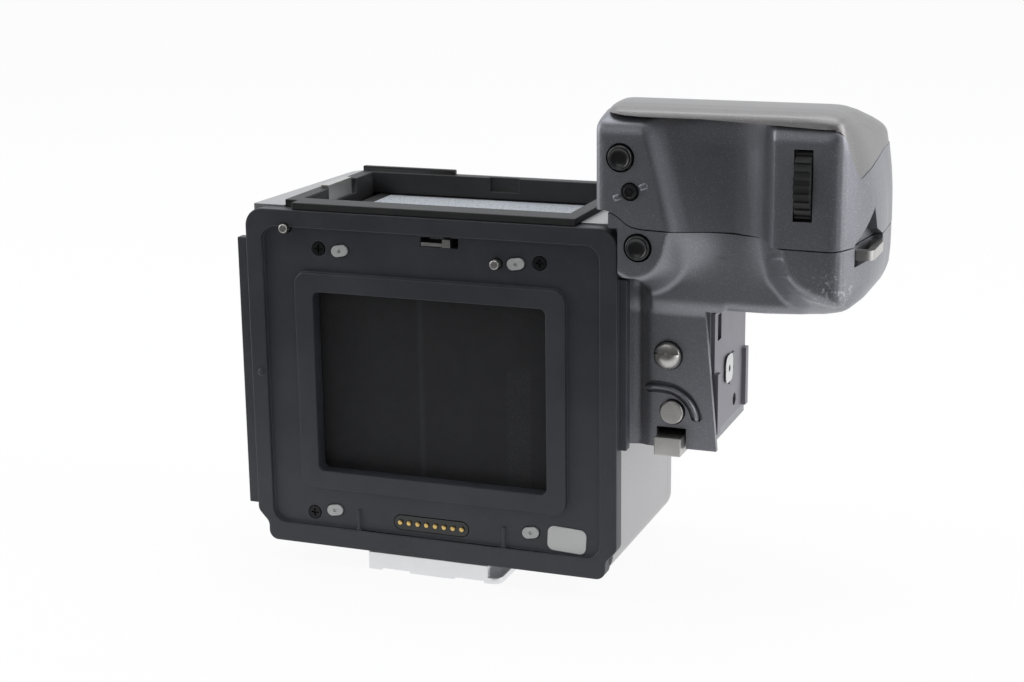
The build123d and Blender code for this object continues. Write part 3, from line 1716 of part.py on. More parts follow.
# Top cover with the display and the four controls on it
window_x = (49.0, 77.0)
window_y = (rear_y + 18.5, rear_y + 32.5)
window_t = 1.2
window_rebate = 1.5
panel_t = 1.4
panel_over = 0.6
grip_board_x = (48.6, 79.0)
grip_board_y = (rear_y + 14.2, rear_y + 36.0)
grip_board_z = axis_z + 62.0
post_r = 1.6
post_places = [(50.0, rear_y + 14.8), (77.0, rear_y + 14.8), (50.0, rear_y + 35.0), (77.0, rear_y + 35.0)]
release_top = (86.8, rear_y + 33.0)
shutter_r = 4.6
shutter_top_z = axis_z + 70.4
shutter_guide_z = (axis_z + 64.0, axis_z + 68.0)
shutter_guide_t = 1.4
shutter_lip_top = shutter_guide_z[0] - run_gap
shutter_travel = 1.0
top_lip = 0.8
shutter_lip = 0.5
top_lip_t = 0.8
top_buttons = {
    "on_off_button": (86.0, rear_y + 20.5, 2.5, 70.6),
    "menu_button": (57.0, rear_y + 40.0, 2.6, 70.9),
    "drive_button": (69.0, rear_y + 40.0, 2.6, 70.9),
}
top_travel = 0.7
top_in_z = head_top_z - grip_wall
on_off_guide_z = axis_z + 65.7

with BuildPart() as top_bosses:
    rod(
        (*release_top, shutter_guide_z[0]),
        (*release_top, shutter_guide_z[1]),
        shutter_r + slide_gap + shutter_guide_t,
    )
    rod(
        (*top_buttons["on_off_button"][:2], on_off_guide_z),
        (*top_buttons["on_off_button"][:2], shutter_guide_z[1]),
        top_buttons["on_off_button"][2] + slide_gap + shutter_guide_t,
    )
    for place in post_places:
        rod((*place, grip_board_z + board_t), (*place, top_in_z), post_r)

with BuildPart() as top_holes:
    rod((*release_top, shutter_guide_z[0]), (*release_top, head_top_z + overrun), shutter_r + slide_gap)
    rod(
        (*release_top, shutter_guide_z[0] - top_lip_t - shutter_travel - slide_gap),
        (*release_top, shutter_guide_z[0]),
        shutter_r + shutter_lip + slide_gap,
    )
    rod(
        (*top_buttons["on_off_button"][:2], on_off_guide_z - top_lip_t - top_travel - slide_gap),
        (*top_buttons["on_off_button"][:2], on_off_guide_z),
        top_buttons["on_off_button"][2] + top_lip + slide_gap,
    )
    for x, y, radius, top in top_buttons.values():
        rod((x, y, on_off_guide_z), (x, y, head_top_z + overrun), radius + slide_gap)
    slab(window_x, window_y, (head_top_z - window_t - fit_gap, head_top_z + overrun))
    slab(
        (window_x[0] + window_rebate, window_x[1] - window_rebate),
        (window_y[0] + window_rebate, window_y[1] - window_rebate),
        (top_in_z, head_top_z),
    )

cover_bosses = top_bosses.part.rotate(top_axis, -top_tilt) & head_outer
cover_holes = top_holes.part.rotate(top_axis, -top_tilt)

with BuildPart() as grip_top_cover:
    add(head_outer)
    add(cover_inner, mode=Mode.SUBTRACT)
    add(cover_region.part, mode=Mode.INTERSECT)
    add(cover_bosses)
    add(cover_holes, mode=Mode.SUBTRACT)
save(grip_top_cover, "grip_top_cover")

with BuildPart() as display_window:
    slab(
        (window_x[0] + fit_gap, window_x[1] - fit_gap),
        (window_y[0] + fit_gap, window_y[1] - fit_gap),
        (head_top_z - window_t - fit_gap, head_top_z - fit_gap),
    )
save_tilted(display_window, "display_window")

with BuildPart() as display_panel:
    slab(
        (window_x[0] - panel_over, window_x[1] + panel_over),
        (window_y[0] - panel_over, window_y[1] + panel_over),
        (top_in_z - panel_t, top_in_z),
    )
save_tilted(display_panel, "display_panel")

with BuildPart() as grip_board:
    slab(grip_board_x, grip_board_y, (grip_board_z, grip_board_z + board_t))
    for x_share, y_share, wide_share, deep_share in chip_shares:
        chip_x = grip_board_x[0] + x_share * (grip_board_x[1] - grip_board_x[0])
        chip_y = grip_board_y[0] + y_share * (grip_board_y[1] - grip_board_y[0])
        chip_wide = wide_share * (grip_board_x[1] - grip_board_x[0]) / 2
        chip_deep = deep_share * (grip_board_y[1] - grip_board_y[0]) / 2
        slab(
            (chip_x - chip_wide, chip_x + chip_wide),
            (chip_y - chip_deep, chip_y + chip_deep),
            (grip_board_z - chip_t, grip_board_z),
        )
save_tilted(grip_board, "grip_board")

with BuildPart() as shutter_release:
    rod((*release_top, shutter_lip_top - top_lip_t), (*release_top, shutter_top_z), shutter_r)
    fillet(shutter_release.edges().group_by(Axis.Z)[-1], top_lip)
    rod(
        (*release_top, shutter_lip_top - top_lip_t),
        (*release_top, shutter_lip_top),
        shutter_r + shutter_lip,
    )
save_tilted(shutter_release, "shutter_release")

for name, (x, y, radius, top) in top_buttons.items():
    lip_top = (on_off_guide_z if name == "on_off_button" else top_in_z) - run_gap
    with BuildPart() as top_button:
        rod((x, y, lip_top - top_lip_t), (x, y, axis_z + top), radius)
        fillet(top_button.edges().group_by(Axis.Z)[-1], top_lip / 2)
        rod((x, y, lip_top - top_lip_t), (x, y, lip_top), radius + top_lip)
    save_tilted(top_button, name)
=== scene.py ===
import json
import math

import bmesh
import bpy
import numpy as np
from mathutils import Matrix, Vector

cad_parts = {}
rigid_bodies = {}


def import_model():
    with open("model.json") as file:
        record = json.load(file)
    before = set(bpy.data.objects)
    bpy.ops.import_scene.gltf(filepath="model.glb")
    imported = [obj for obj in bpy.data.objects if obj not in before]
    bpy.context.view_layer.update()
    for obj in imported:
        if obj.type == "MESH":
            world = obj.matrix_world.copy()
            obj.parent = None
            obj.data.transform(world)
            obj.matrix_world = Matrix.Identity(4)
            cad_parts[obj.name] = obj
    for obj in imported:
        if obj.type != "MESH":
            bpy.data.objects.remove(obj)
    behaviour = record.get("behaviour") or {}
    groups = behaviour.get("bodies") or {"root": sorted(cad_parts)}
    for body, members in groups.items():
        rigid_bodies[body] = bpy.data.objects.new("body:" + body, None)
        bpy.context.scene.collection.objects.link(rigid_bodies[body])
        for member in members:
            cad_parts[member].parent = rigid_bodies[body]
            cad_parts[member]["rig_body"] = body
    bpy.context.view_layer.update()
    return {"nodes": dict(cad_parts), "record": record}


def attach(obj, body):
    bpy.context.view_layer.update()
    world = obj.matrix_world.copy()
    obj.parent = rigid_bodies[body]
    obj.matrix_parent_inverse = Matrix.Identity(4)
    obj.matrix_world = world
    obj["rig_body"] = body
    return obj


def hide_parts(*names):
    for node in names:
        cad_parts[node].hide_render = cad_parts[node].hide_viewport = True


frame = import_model()
nodes = frame["nodes"]
print("frame loaded:", len(nodes), "nodes")

mm = 0.001
rearY = -33.0  # the rear face, from the object's middle
axisZ = 47.0  # the optical axis, above the foot
bodyOf = {name: nodes[name]["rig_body"] for name in nodes}


# A place given in millimetres from the optical axis and the rear face.
def at(x, deep, high):
    return Vector((x * mm, (rearY + deep) * mm, (axisZ + high) * mm))


# A value of a shader: sums on it add their Math nodes.
class Field:
    def __init__(self, sheet, socket):
        self.sheet = sheet
        self.socket = socket

    def reckon(self, operation, first, second=None):
        values = [first] if second is None else [first, second]
        return self.sheet.node("ShaderNodeMath", {"operation": operation}, values)

    def __add__(self, other):
        return self.reckon("ADD", self, other)

    __radd__ = __add__

    def __sub__(self, other):
        return self.reckon("SUBTRACT", self, other)

    def __rsub__(self, other):
        return self.reckon("SUBTRACT", other, self)

    def __mul__(self, other):
        return self.reckon("MULTIPLY", self, other)

    __rmul__ = __mul__

    def highest(self, other):
        return self.reckon("MAXIMUM", self, other)

    def absolute(self):
        return self.reckon("ABSOLUTE", self)

    def sine(self):
        return self.reckon("SINE", self)

    # Low below start, 1 above end, smooth between them.
    def between(self, start, end, low=0.0):
        settings = {"interpolation_type": "SMOOTHSTEP"}
        inputs = {0: self, 1: start, 2: end, 3: low, 4: 1.0}
        return self.sheet.node("ShaderNodeMapRange", settings, inputs)

    # Another output of the same node.
    def other(self, output):
        return Field(self.sheet, self.socket.node.outputs[output])


# A node tree, whose nodes all come from one method.
class Sheet:
    def __init__(self, tree):
        self.tree = tree

    def node(self, kind, settings=None, inputs=None, output=0):
        made = self.tree.nodes.new(kind)
        for key, value in (settings or {}).items():
            setattr(made, key, value)
        if isinstance(inputs, (list, tuple)):
            inputs = dict(enumerate(inputs))
        for key, value in (inputs or {}).items():
            if isinstance(value, Field):
                self.tree.links.new(value.socket, made.inputs[key])
            else:
                made.inputs[key].default_value = value
        if len(made.outputs):
            return Field(self, made.outputs[output])


class Paint(Sheet):
    def __init__(self, name, roughness=0.5, metallic=0.0, coat=0.0, coatRoughness=0.2, specular=0.5):
        self.material = bpy.data.materials.new(name)
        self.material.use_nodes = True
        super().__init__(self.material.node_tree)
        self.shader = self.tree.nodes["Principled BSDF"]
        self.set("Roughness", roughness)
        self.set("Metallic", metallic)
        self.set("Coat Weight", coat)
        self.set("Coat Roughness", coatRoughness)
        self.set("Specular IOR Level", specular)
        self.set("IOR", 1.5)
        self.place = self.node("ShaderNodeTexCoord", output="Object")
        self.x = self.node("ShaderNodeSeparateXYZ", {}, [self.place])
        self.z = self.x.other(2)

    def set(self, name, value):
        if isinstance(value, Field):
            self.tree.links.new(value.socket, self.shader.inputs[name])
        else:
            self.shader.inputs[name].default_value = value

    # The place on the object, stretched by a scale for each axis.
    def stretched(self, scale):
        return self.node("ShaderNodeMapping", {}, {"Vector": self.place, "Scale": scale})

    def noise(self, scale, detail=3.0, roughness=0.5, distortion=0.0, place=None):
        inputs = {
            "Vector": place or self.place,
            "Scale": scale,
            "Detail": detail,
            "Roughness": roughness,
            "Distortion": distortion,
        }
        return self.node("ShaderNodeTexNoise", {}, inputs)

    # A random colour for each cell.
    def cells(self, scale):
        return self.node("ShaderNodeTexVoronoi", {}, {"Vector": self.place, "Scale": scale}, "Color")

    def mix(self, share, first, second):
        inputs = {0: share, 6: first, 7: second}
        return self.node("ShaderNodeMix", {"data_type": "RGBA"}, inputs, 2)

    def bump(self, height, distance):
        inputs = {"Height": height, "Distance": distance, "Strength": 1.0}
        self.set("Normal", self.node("ShaderNodeBump", {}, inputs, "Normal"))


def colour(red, green, blue):
    return (red, green, blue, 1.0)


paints = {}


# Dark matte paint with a fine grain, rubbed lighter in places.
def darkPaint(name, base, light, roughness, relief=0.00003):
    paint = Paint(name, specular=0.45)
    fine = paint.noise(9000.0, 2.0, 0.6)
    cloud = paint.noise(70.0, 4.0, 0.6)
    worn = paint.noise(420.0, 5.0, 0.7).between(0.55, 0.75)
    share = cloud.between(0.3, 0.7) * 0.5 + worn * 0.3 + fine * 0.25
    paint.set("Base Color", paint.mix(share, base, light))
    paint.set("Roughness", roughness + cloud * 0.14 - fine * 0.06)
    paint.bump(fine + worn * 0.3, relief)
    paints[name] = paint.material


# Grey metallic lacquer with bright flakes in it.
def flakePaint(name, base, light, roughness, flakes, scuffs=None):
    paint = Paint(name, metallic=0.85, coat=0.25, coatRoughness=0.32)
    shade = paint.node("ShaderNodeSeparateColor", {}, [paint.cells(6500.0)])
    bright = shade.between(0.86, 1.0)
    cloud = paint.noise(45.0, 3.0, 0.5)
    fine = paint.noise(5200.0, 2.0, 0.6)
    tone = paint.mix(cloud * 0.5 + fine * 0.35, base, light)
    spark = tuple(min(1.0, channel * 2.6) for channel in light[:3]) + (1.0,)
    tone = paint.mix(bright * flakes, tone, spark)
    rough = roughness + cloud * 0.1 + fine * 0.05
    if scuffs:
        centre, reach = scuffs
        measure = {"operation": "DISTANCE"}
        away = paint.node("ShaderNodeVectorMath", measure, {0: paint.place, 1: centre}, "Value")
        near = 1.0 - away.between(reach * 0.2, reach)
        chips = (paint.noise(900.0, 6.0, 0.75) * near).between(0.52, 0.6)
        tone = paint.mix(chips * 0.8, tone, colour(0.55, 0.55, 0.56))
        rough = rough + chips * 0.2
    paint.set("Base Color", tone)
    paint.set("Roughness", rough)
    paint.bump(fine + bright * 0.4, 0.00002)
    paints[name] = paint.material


# Brushed or turned metal: fine lines along one axis, faint stains.
def brushedMetal(name, base, light, roughness, stretch, relief=0.00001):
    paint = Paint(name, metallic=1.0)
    lines = paint.noise(1.0, 3.0, 0.6, place=paint.stretched(stretch))
    cloud = paint.noise(160.0, 4.0, 0.6)
    share = lines * 0.6 + cloud.between(0.35, 0.75) * 0.3
    paint.set("Base Color", paint.mix(share, base, light))
    paint.set("Roughness", roughness + lines * 0.12 + cloud * 0.1)
    paint.bump(lines, relief)
    paints[name] = paint.material


# Moulded plastic or rubber with a faint sheen.
def mouldedPlastic(name, base, light, roughness, grain=2600.0, relief=0.00002, coat=0.0):
    paint = Paint(name, coat=coat, coatRoughness=0.12, specular=0.5)
    fine = paint.noise(grain, 3.0, 0.6)
    cloud = paint.noise(120.0, 3.0, 0.5)
    paint.set("Base Color", paint.mix(cloud * 0.7 + fine * 0.3, base, light))
    paint.set("Roughness", roughness + cloud * 0.12 + fine * 0.05)
    paint.bump(fine, relief)
    paints[name] = paint.material


darkPaint("plate_paint", colour(0.031, 0.033, 0.041), colour(0.051, 0.054, 0.064), 0.42)
darkPaint("black_casting", colour(0.010, 0.010, 0.011), colour(0.022, 0.022, 0.023), 0.48, relief=0.00004)
flakePaint("cover_paint", colour(0.34, 0.335, 0.345), colour(0.46, 0.455, 0.465), 0.34, 0.16)
flakePaint(
    "grip_paint",
    colour(0.20, 0.202, 0.224),
    colour(0.295, 0.298, 0.326),
    0.36,
    0.22,
    scuffs=(at(95, 2, 31), 14 * mm),  # worn spot at the lobe's lower right
)
flakePaint("top_paint", colour(0.21, 0.203, 0.203), colour(0.30, 0.291, 0.29), 0.36, 0.14)
brushedMetal("steel", colour(0.42, 0.41, 0.40), colour(0.66, 0.65, 0.63), 0.26, (400, 3000, 3000))
brushedMetal("black_steel", colour(0.02, 0.02, 0.022), colour(0.05, 0.05, 0.052), 0.34, (2000, 2000, 2000))
brushedMetal("ring_chrome", colour(0.60, 0.60, 0.60), colour(0.80, 0.80, 0.79), 0.2, (2500, 200, 2500))
brushedMetal("pinion_brass", colour(0.62, 0.42, 0.14), colour(0.85, 0.64, 0.28), 0.24, (1500, 1500, 1500))
brushedMetal("column_metal", colour(0.22, 0.215, 0.24), colour(0.34, 0.33, 0.36), 0.38, (500, 500, 6000))
brushedMetal("bright_plate", colour(0.74, 0.75, 0.77), colour(0.90, 0.905, 0.92), 0.32, (6000, 160, 6000))
brushedMetal("mirror_silver", colour(0.80, 0.81, 0.82), colour(0.90, 0.91, 0.92), 0.03, (300, 300, 300), 0.0)
mouldedPlastic("panel_plastic", colour(0.045, 0.055, 0.05), colour(0.085, 0.10, 0.09), 0.3)
mouldedPlastic("button_black", colour(0.005, 0.005, 0.006), colour(0.012, 0.012, 0.014), 0.24, coat=0.25)
mouldedPlastic("button_red", colour(0.42, 0.02, 0.02), colour(0.58, 0.05, 0.04), 0.25, coat=0.3)
mouldedPlastic("dial_rubber", colour(0.012, 0.012, 0.013), colour(0.03, 0.03, 0.031), 0.5, relief=0.00004)
mouldedPlastic("pad_plastic", colour(0.46, 0.47, 0.47), colour(0.62, 0.62, 0.61), 0.34, 1200.0)
mouldedPlastic("board_green", colour(0.01, 0.07, 0.03), colour(0.03, 0.13, 0.06), 0.35)
mouldedPlastic("label_white", colour(0.6, 0.6, 0.59), colour(0.76, 0.76, 0.75), 0.45, 3000.0)


# Window and screen glass, drawn as a dark or milky surface under a gloss.
glass = Paint("window_glass", roughness=0.06, coat=1.0, coatRoughness=0.02, specular=0.6)
smear = glass.noise(90.0, 4.0, 0.6, 0.6)
glass.set("Base Color", glass.mix(smear, colour(0.018, 0.020, 0.020), colour(0.035, 0.038, 0.037)))
glass.set("Roughness", 0.05 + smear.between(0.45, 0.8) * 0.12)
paints["window_glass"] = glass.material

screen = Paint("screen_glass", coat=0.6, coatRoughness=0.08)
frost = screen.noise(2400.0, 2.0, 0.5)
haze = screen.noise(38.0, 3.0, 0.5)
milky = haze * 0.6 + frost * 0.3
screen.set("Base Color", screen.mix(milky, colour(0.62, 0.66, 0.72), colour(0.80, 0.84, 0.89)))
screen.set("Roughness", 0.22 + frost * 0.12)
screen.bump(frost, 0.00001)
paints["screen_glass"] = screen.material


# Rubberised blind cloth: a fine weave, one upright fold mark and dust at the lower right.
blind = {
    "threads": 7600.0,
    "foldX": -0.0036,
    "foldWidth": 0.0012,
    "dustLeft": (0.014, 0.019),
    "dustRight": (0.024, 0.027),
    "dustTop": (0.052, 0.064),
}
cloth = Paint("blind_cloth", specular=0.35)
across = (cloth.x * blind["threads"]).sine()
along = (cloth.z * blind["threads"]).sine()
weave = (across * along) * 0.5 + 0.5
mottle = cloth.noise(260.0, 5.0, 0.7)
foldMark = 1.0 - (cloth.x - blind["foldX"]).absolute().between(0.0, blind["foldWidth"])
dustSide = cloth.x.between(*blind["dustLeft"]) * (1.0 - cloth.x.between(*blind["dustRight"]))
dustHeight = 1.0 - cloth.z.between(*blind["dustTop"])
dust = (cloth.noise(5200.0, 2.0, 0.8) * dustSide * dustHeight).between(0.56, 0.66)
shade = weave * 0.55 + mottle * 0.5
clothTone = cloth.mix(shade, colour(0.010, 0.010, 0.011), colour(0.034, 0.034, 0.037))
clothTone = cloth.mix(foldMark * 0.3 * mottle, clothTone, colour(0.07, 0.07, 0.075))
cloth.set("Base Color", cloth.mix(dust * 0.45, clothTone, colour(0.20, 0.20, 0.21)))
cloth.set("Roughness", 0.72 + weave * 0.15 - foldMark * 0.1)
cloth.bump(weave + mottle * 0.4, 0.00006)
paints["blind_cloth"] = cloth.material
print("materials made:", len(paints))


# CAD nodes take the paint of their slot.
slotOf = {entry["node"]: entry["material_slot"] for entry in frame["record"]["subparts"]}

for name, node in nodes.items():
    node.data.materials.clear()
    node.data.materials.append(paints[slotOf[name]])

brightNodes = {"tripod_plate": "bright_plate", "battery_side_screws": "steel"}
for name, paintName in brightNodes.items():
    nodes[name].data.materials[0] = paints[paintName]


def meshOf(name, work):
    mesh = bpy.data.meshes.new(name)
    work.to_mesh(mesh)
    work.free()
    return mesh


def newPiece(name, work, paintName, body, sharpAngle=35.0):
    bmesh.ops.recalc_face_normals(work, faces=work.faces[:])
    return finishPiece(name, meshOf(name, work), paintName, body, sharpAngle)


def finishPiece(name, mesh, paintName, body, sharpAngle=35.0):
    mesh.materials.clear()
    mesh.materials.append(paints[paintName])
    mesh.shade_smooth()
    mesh.set_sharp_from_angle(angle=math.radians(sharpAngle))
    piece = bpy.data.objects.new(name, mesh)
    bpy.context.scene.collection.objects.link(piece)
    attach(piece, body)
    return piece


# Worn edges: how far each node's edges are broken, in millimetres.
wornWidths = {
    "rear_plate": 0.3,
    "finder_frame": 0.25,
    "tripod_plate": 0.2,
    "finder_catch": 0.1,
    "battery_latch": 0.3,
    "left_cover": 0.12,
    "right_cover": 0.12,
    "front_panel": 0.12,
    "bottom_cover": 0.12,
}
wear = {"merge": 0.002, "flatAngle": 0.6, "sharpFrom": 30.0, "segments": 2, "shadeAngle": 50.0}
pinHole = {"x": -36.5, "z": 37.7, "reach": 2.6}  # its edges in the finder frame stay sharp


def atPinHole(vertex):
    centre = at(pinHole["x"], 0, pinHole["z"])
    return math.hypot(vertex.co.x - centre.x, vertex.co.z - centre.z) < pinHole["reach"] * mm


# A copy of a CAD node with its sharp edges broken.
def brokenEdges(nodeName, width, paintName=None):
    work = bmesh.new()
    work.from_mesh(nodes[nodeName].data)
    bmesh.ops.remove_doubles(work, verts=work.verts[:], dist=wear["merge"] * mm)
    flat = math.radians(wear["flatAngle"])
    bmesh.ops.dissolve_limit(work, angle_limit=flat, verts=work.verts[:], edges=work.edges[:])
    limit = math.radians(wear["sharpFrom"])
    edges = [e for e in work.edges if e.is_manifold and e.calc_face_angle(0) > limit]
    if nodeName == "finder_frame":
        edges = [e for e in edges if e.is_convex and not all(atPinHole(v) for v in e.verts)]
    bmesh.ops.bevel(
        work,
        geom=edges,
        offset=width * mm,
        offset_type="OFFSET",
        affect="EDGES",
        segments=wear["segments"],
        profile=0.5,
        material=-1,
        clamp_overlap=False,
    )
    slotName = slotOf[nodeName]
    paintName = paintName or slotName
    piece = newPiece(nodeName + "_worn", work, paintName, bodyOf[nodeName], wear["shadeAngle"])
    flatter = piece.modifiers.new("normals", "WEIGHTED_NORMAL")
    flatter.keep_sharp = True
    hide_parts(nodeName)


for nodeName, width in wornWidths.items():
    brokenEdges(nodeName, width, brightNodes.get(nodeName))
print("edges broken:", len(wornWidths))


# The grip is a soft form from three outlines, hollowed for the thumb.

# Points along a shallow arc, without its end.
def arcRun(start, end, bulge, count=8):
    run = Vector(end) - Vector(start)
    side = Vector((run.y, -run.x)).normalized()
    points = []
    for step in range(count):
        share = step / count
        point = Vector(start) + run * share + side * (4 * bulge * share * (1 - share))
        points.append((point.x, point.y))
    return points


# How far each place lies outside an outline, less than 0 within it.
def outlineDistance(across, up, corners):
    nearest = np.full(across.shape, 1e9)
    inside = np.zeros(across.shape, bool)
    for (ax, ay), (bx, by) in zip(corners, corners[1:] + corners[:1]):
        ex, ey = bx - ax, by - ay
        if ex == 0 and ey == 0:
            continue
        wx, wy = across - ax, up - ay
        share = np.clip((wx * ex + wy * ey) / (ex * ex + ey * ey), 0, 1)
        nearest = np.minimum(nearest, (wx - ex * share) ** 2 + (wy - ey * share) ** 2)
        if ey:
            inside ^= ((ay > up) != (by > up)) & (across < ex * (up - ay) / ey + ax)
    return np.where(inside, -1, 1) * np.sqrt(nearest)


def ease(value, start, end):
    share = np.clip((value - start) / (end - start), 0, 1)
    return share * share * (3 - 2 * share)


# The higher or the lower of two values, rounded where they meet.
def softHigher(first, second, radius):
    overlap = np.maximum(radius - np.abs(first - second), 0)
    return np.maximum(first, second) + overlap * overlap / (4 * radius)


def softLower(first, second, radius):
    overlap = np.maximum(radius - np.abs(first - second), 0)
    return np.minimum(first, second) - overlap * overlap / (4 * radius)


rightSide = (
    [(94.0, -0.5), (95.1, -0.4), (96.2, -0.05), (97.2, 0.6)]
    + arcRun((98.1, 1.6), (103.2, 27.0), 2.5)
    + arcRun((103.2, 27.0), (84.0, 55.0), 6.0)
    + [(84.0, 55.0), (48.0, 55.0)]
)
shellPlan = [(41.8, 51.0), (41.8, 1.6), (42.1, 0.5), (42.8, -0.2), (43.9, -0.5)] + rightSide
coverPlan = [(42.0, 51.0), (42.2, 12.0), (42.9, 6.5), (43.7, 3.2), (45.0, 0.9), (46.8, -0.2), (49.0, -0.5)]
coverPlan += rightSide
rightShoulder = [
    (66.0, 76.0),
    (84.0, 74.2),
    (90.0, 72.6),
    (94.2, 70.8),
    (96.8, 68.8),
    (98.6, 66.0),
    (99.8, 62.6),
    (101.0, 58.4),
    (102.3, 53.6),
    (103.3, 48.6),
    (103.7, 43.6),
    (103.8, 38.6),
    (103.6, 34.6),
    (102.6, 30.8),
    (100.4, 27.6),
    (97.0, 25.3),
    (92.4, 23.9),
    (87.0, 23.2),
    (79.0, 22.8),
    (34.0, 22.8),
]
shellFront = [
    (34.0, 64.5),
    (40.2, 67.4),
    (41.6, 69.0),
    (43.4, 70.5),
    (46.4, 72.4),
    (50.0, 74.0),
    (56.0, 76.0),
] + rightShoulder
coverFront = [
    (34.0, 66.0),
    (41.4, 68.4),
    (42.3, 70.0),
    (43.8, 71.7),
    (46.6, 73.3),
    (51.0, 74.8),
    (56.0, 76.0),
] + rightShoulder
forwardSide = (
    [(17.5, 69.7), (22.5, 68.2), (50.0, 60.0)]
    + arcRun((50.0, 60.0), (56.0, 53.0), -1.2)[1:]
    + [(60.0, 46.0), (60.0, 18.0)]
)
shellSide = [
    (-4.5, 18.0),
    (-4.5, 64.6),
    (-1.5, 65.3),
    (0.0, 66.2),
    (3.0, 67.6),
    (7.0, 68.9),
    (11.0, 69.7),
    (14.5, 70.0),
] + forwardSide
coverSide = [
    (-1.2, 18.0),
    (-1.2, 65.4),
    (-0.9, 66.6),
    (-0.2, 67.8),
    (1.2, 68.8),
    (3.4, 69.5),
    (7.0, 69.9),
    (11.0, 70.0),
    (14.5, 70.0),
] + forwardSide
lobeOutline = [
    (81.2, 46.0),
    (81.8, 42.5),
    (82.2, 39.3),
    (82.7, 36.7),
    (83.9, 33.3),
    (86.5, 30.4),
    (90.8, 28.1),
    (95.6, 27.2),
    (99.2, 27.6),
    (102.6, 29.4),
    (106.0, 33.0),
    (108.0, 38.0),
    (108.0, 46.0),
]

# The hollow: its left edge leans, its right edge is upright, and it grows shallower towards the top.
thumb = {
    "leftTop": 52.6,
    "leftFrom": 67.0,
    "slope": 0.268,
    "leftEnd": 74.0,
    "rightStart": 70.0,
    "leftBlur": 0.028,
    "rightBlur": 0.45,
    "meet": 1.0,
    "fade": 0.1,
    "fadeFrom": 60.0,
    "fadeTo": 68.5,
}
hollowLeft = [(-0.4, 0.0), (0.0, 0.0), (0.2, 3.3), (0.45, 5.5), (0.7, 7.4), (0.9, 8.5), (1.0, 8.8)]
hollowRight = [(0.0, 8.8), (2.4, 8.5), (5.0, 7.7), (7.6, 6.3), (9.6, 4.7), (11.2, 2.4), (12.3, 0.0)]
valleyRight = [(0.0, 8.8), (2.4, 8.6), (5.0, 7.9), (7.6, 6.8), (10.0, 5.0), (12.2, 2.7), (14.4, 0.0)]
hollowRight.append((16.0, 0.0))
valleyRight.append((18.0, 0.0))


# A profile given by points, with its corners softened.
def softProfile(points, value, blur):
    grid = np.linspace(points[0][0] - 4 * blur, points[-1][0] + 4 * blur, 1200)
    high = np.interp(grid, [p[0] for p in points], [p[1] for p in points])
    step = grid[1] - grid[0]
    reach = max(1, int(3 * blur / step))
    kernel = np.exp(-0.5 * (np.arange(-reach, reach + 1) * step / blur) ** 2)
    padded = np.pad(high, reach, mode="edge")
    return np.interp(value, grid, np.convolve(padded, kernel / kernel.sum(), mode="valid"))


def thumbDepth(x, z, rightProfile):
    left = thumb["leftTop"] + (thumb["leftFrom"] - z) * thumb["slope"]
    share = (x - left) / (thumb["leftEnd"] - left)
    fromLeft = softProfile(hollowLeft, share, thumb["leftBlur"])
    fromRight = softProfile(rightProfile, x - thumb["rightStart"], thumb["rightBlur"])
    depth = np.maximum(softLower(fromLeft, fromRight, thumb["meet"]), 0.0)
    return depth * (1 - thumb["fade"] * ease(z, thumb["fadeFrom"], thumb["fadeTo"]))


# The control head: its softness is how widely the walls round into the top.
head = {
    "rearEdge": -0.5,
    "bottom": 34.0,
    "wall": 1.8,
    "insideRight": 94.0,
    "shellSoftness": 2.6,
    "coverSoftness": 3.4,
    "lowerSoftness": 3.0,
    "sideSoftness": 2.5,
    "low": (41.0, -2.0, 34.0),
    "high": (104.0, 56.0, 72.0),
    "middle": (72.0, 27.0, 52.0),
    "shellCuts": 118,
    "coverCuts": 96,
    "insideCuts": 30,
}


def headField(x, y, z, deepest, planOutline, frontOutline, softness, sideOutline):
    plan = outlineDistance(x, y, planOutline)
    walls = np.maximum(plan, deepest + head["rearEdge"] - y)
    front = outlineDistance(x, z, frontOutline)
    side = outlineDistance(y, z, sideOutline)
    return softHigher(softHigher(walls, front, softness), side, head["sideSoftness"])


def upperField(x, y, z):
    depth = thumbDepth(x, z, hollowRight)
    form = headField(x, y, z, depth, shellPlan, shellFront, head["shellSoftness"], shellSide)
    return np.maximum(form, head["bottom"] - z)


def coverField(x, y, z):
    form = headField(x, y, z, np.zeros_like(x), coverPlan, coverFront, head["coverSoftness"], coverSide)
    return np.maximum(form, head["bottom"] - z)


def headInside(x, y, z):
    return np.maximum(upperField(x, y, z) + head["wall"], x - head["insideRight"])


# The lower shell: a lobe on the right, a bump round the lock button's place and the valley between them.
lower = {
    "seam": 42.6,
    "depth": 9.5,
    "fallFrom": 28.5,
    "fallTo": 44.0,
    "lobeRound": 3.4,
    "lobeReach": 9.0,
    "lobeSlope": 1.15,
    "lobeMeet": 1.2,
    "bumpX": 51.0,
    "bumpZ": 39.0,
    "bumpBelow": 0.88,
    "bumpAbove": 0.55,
    "bumpInner": 6.4,
    "bumpOuter": 12.2,
    "bumpMeet": 3.5,
    "shelfDepth": 12.0,
    "shelfTop": 30.9,
    "shelfFall": 0.9,
    "shelfRight": 53.0,
    "shelfRun": 4.5,
    "top": 52.0,
    "wall": 1.8,
    "low": (40.0, -2.0, -13.5),
    "high": (104.5, 56.0, 52.5),
    "middle": (67.5, 27.0, 29.0),
    "cuts": 118,
    "insideCuts": 40,
}
column = {
    "middle": 54.5,
    "halfWidth": 14.4,
    "top": 34.0,
    "foot": -13.0,
    "rear": 9.0,
    "front": 44.0,
    "meet": 2.0,
    "troughX": 49.8,
    "troughWidth": 1.6,
    "troughDepth": 0.7,
    "rimX": 47.6,
    "rimRise": 0.5,
    "rimRun": 1.4,
    "troughTop": 31.0,
    "troughFade": 4.0,
}
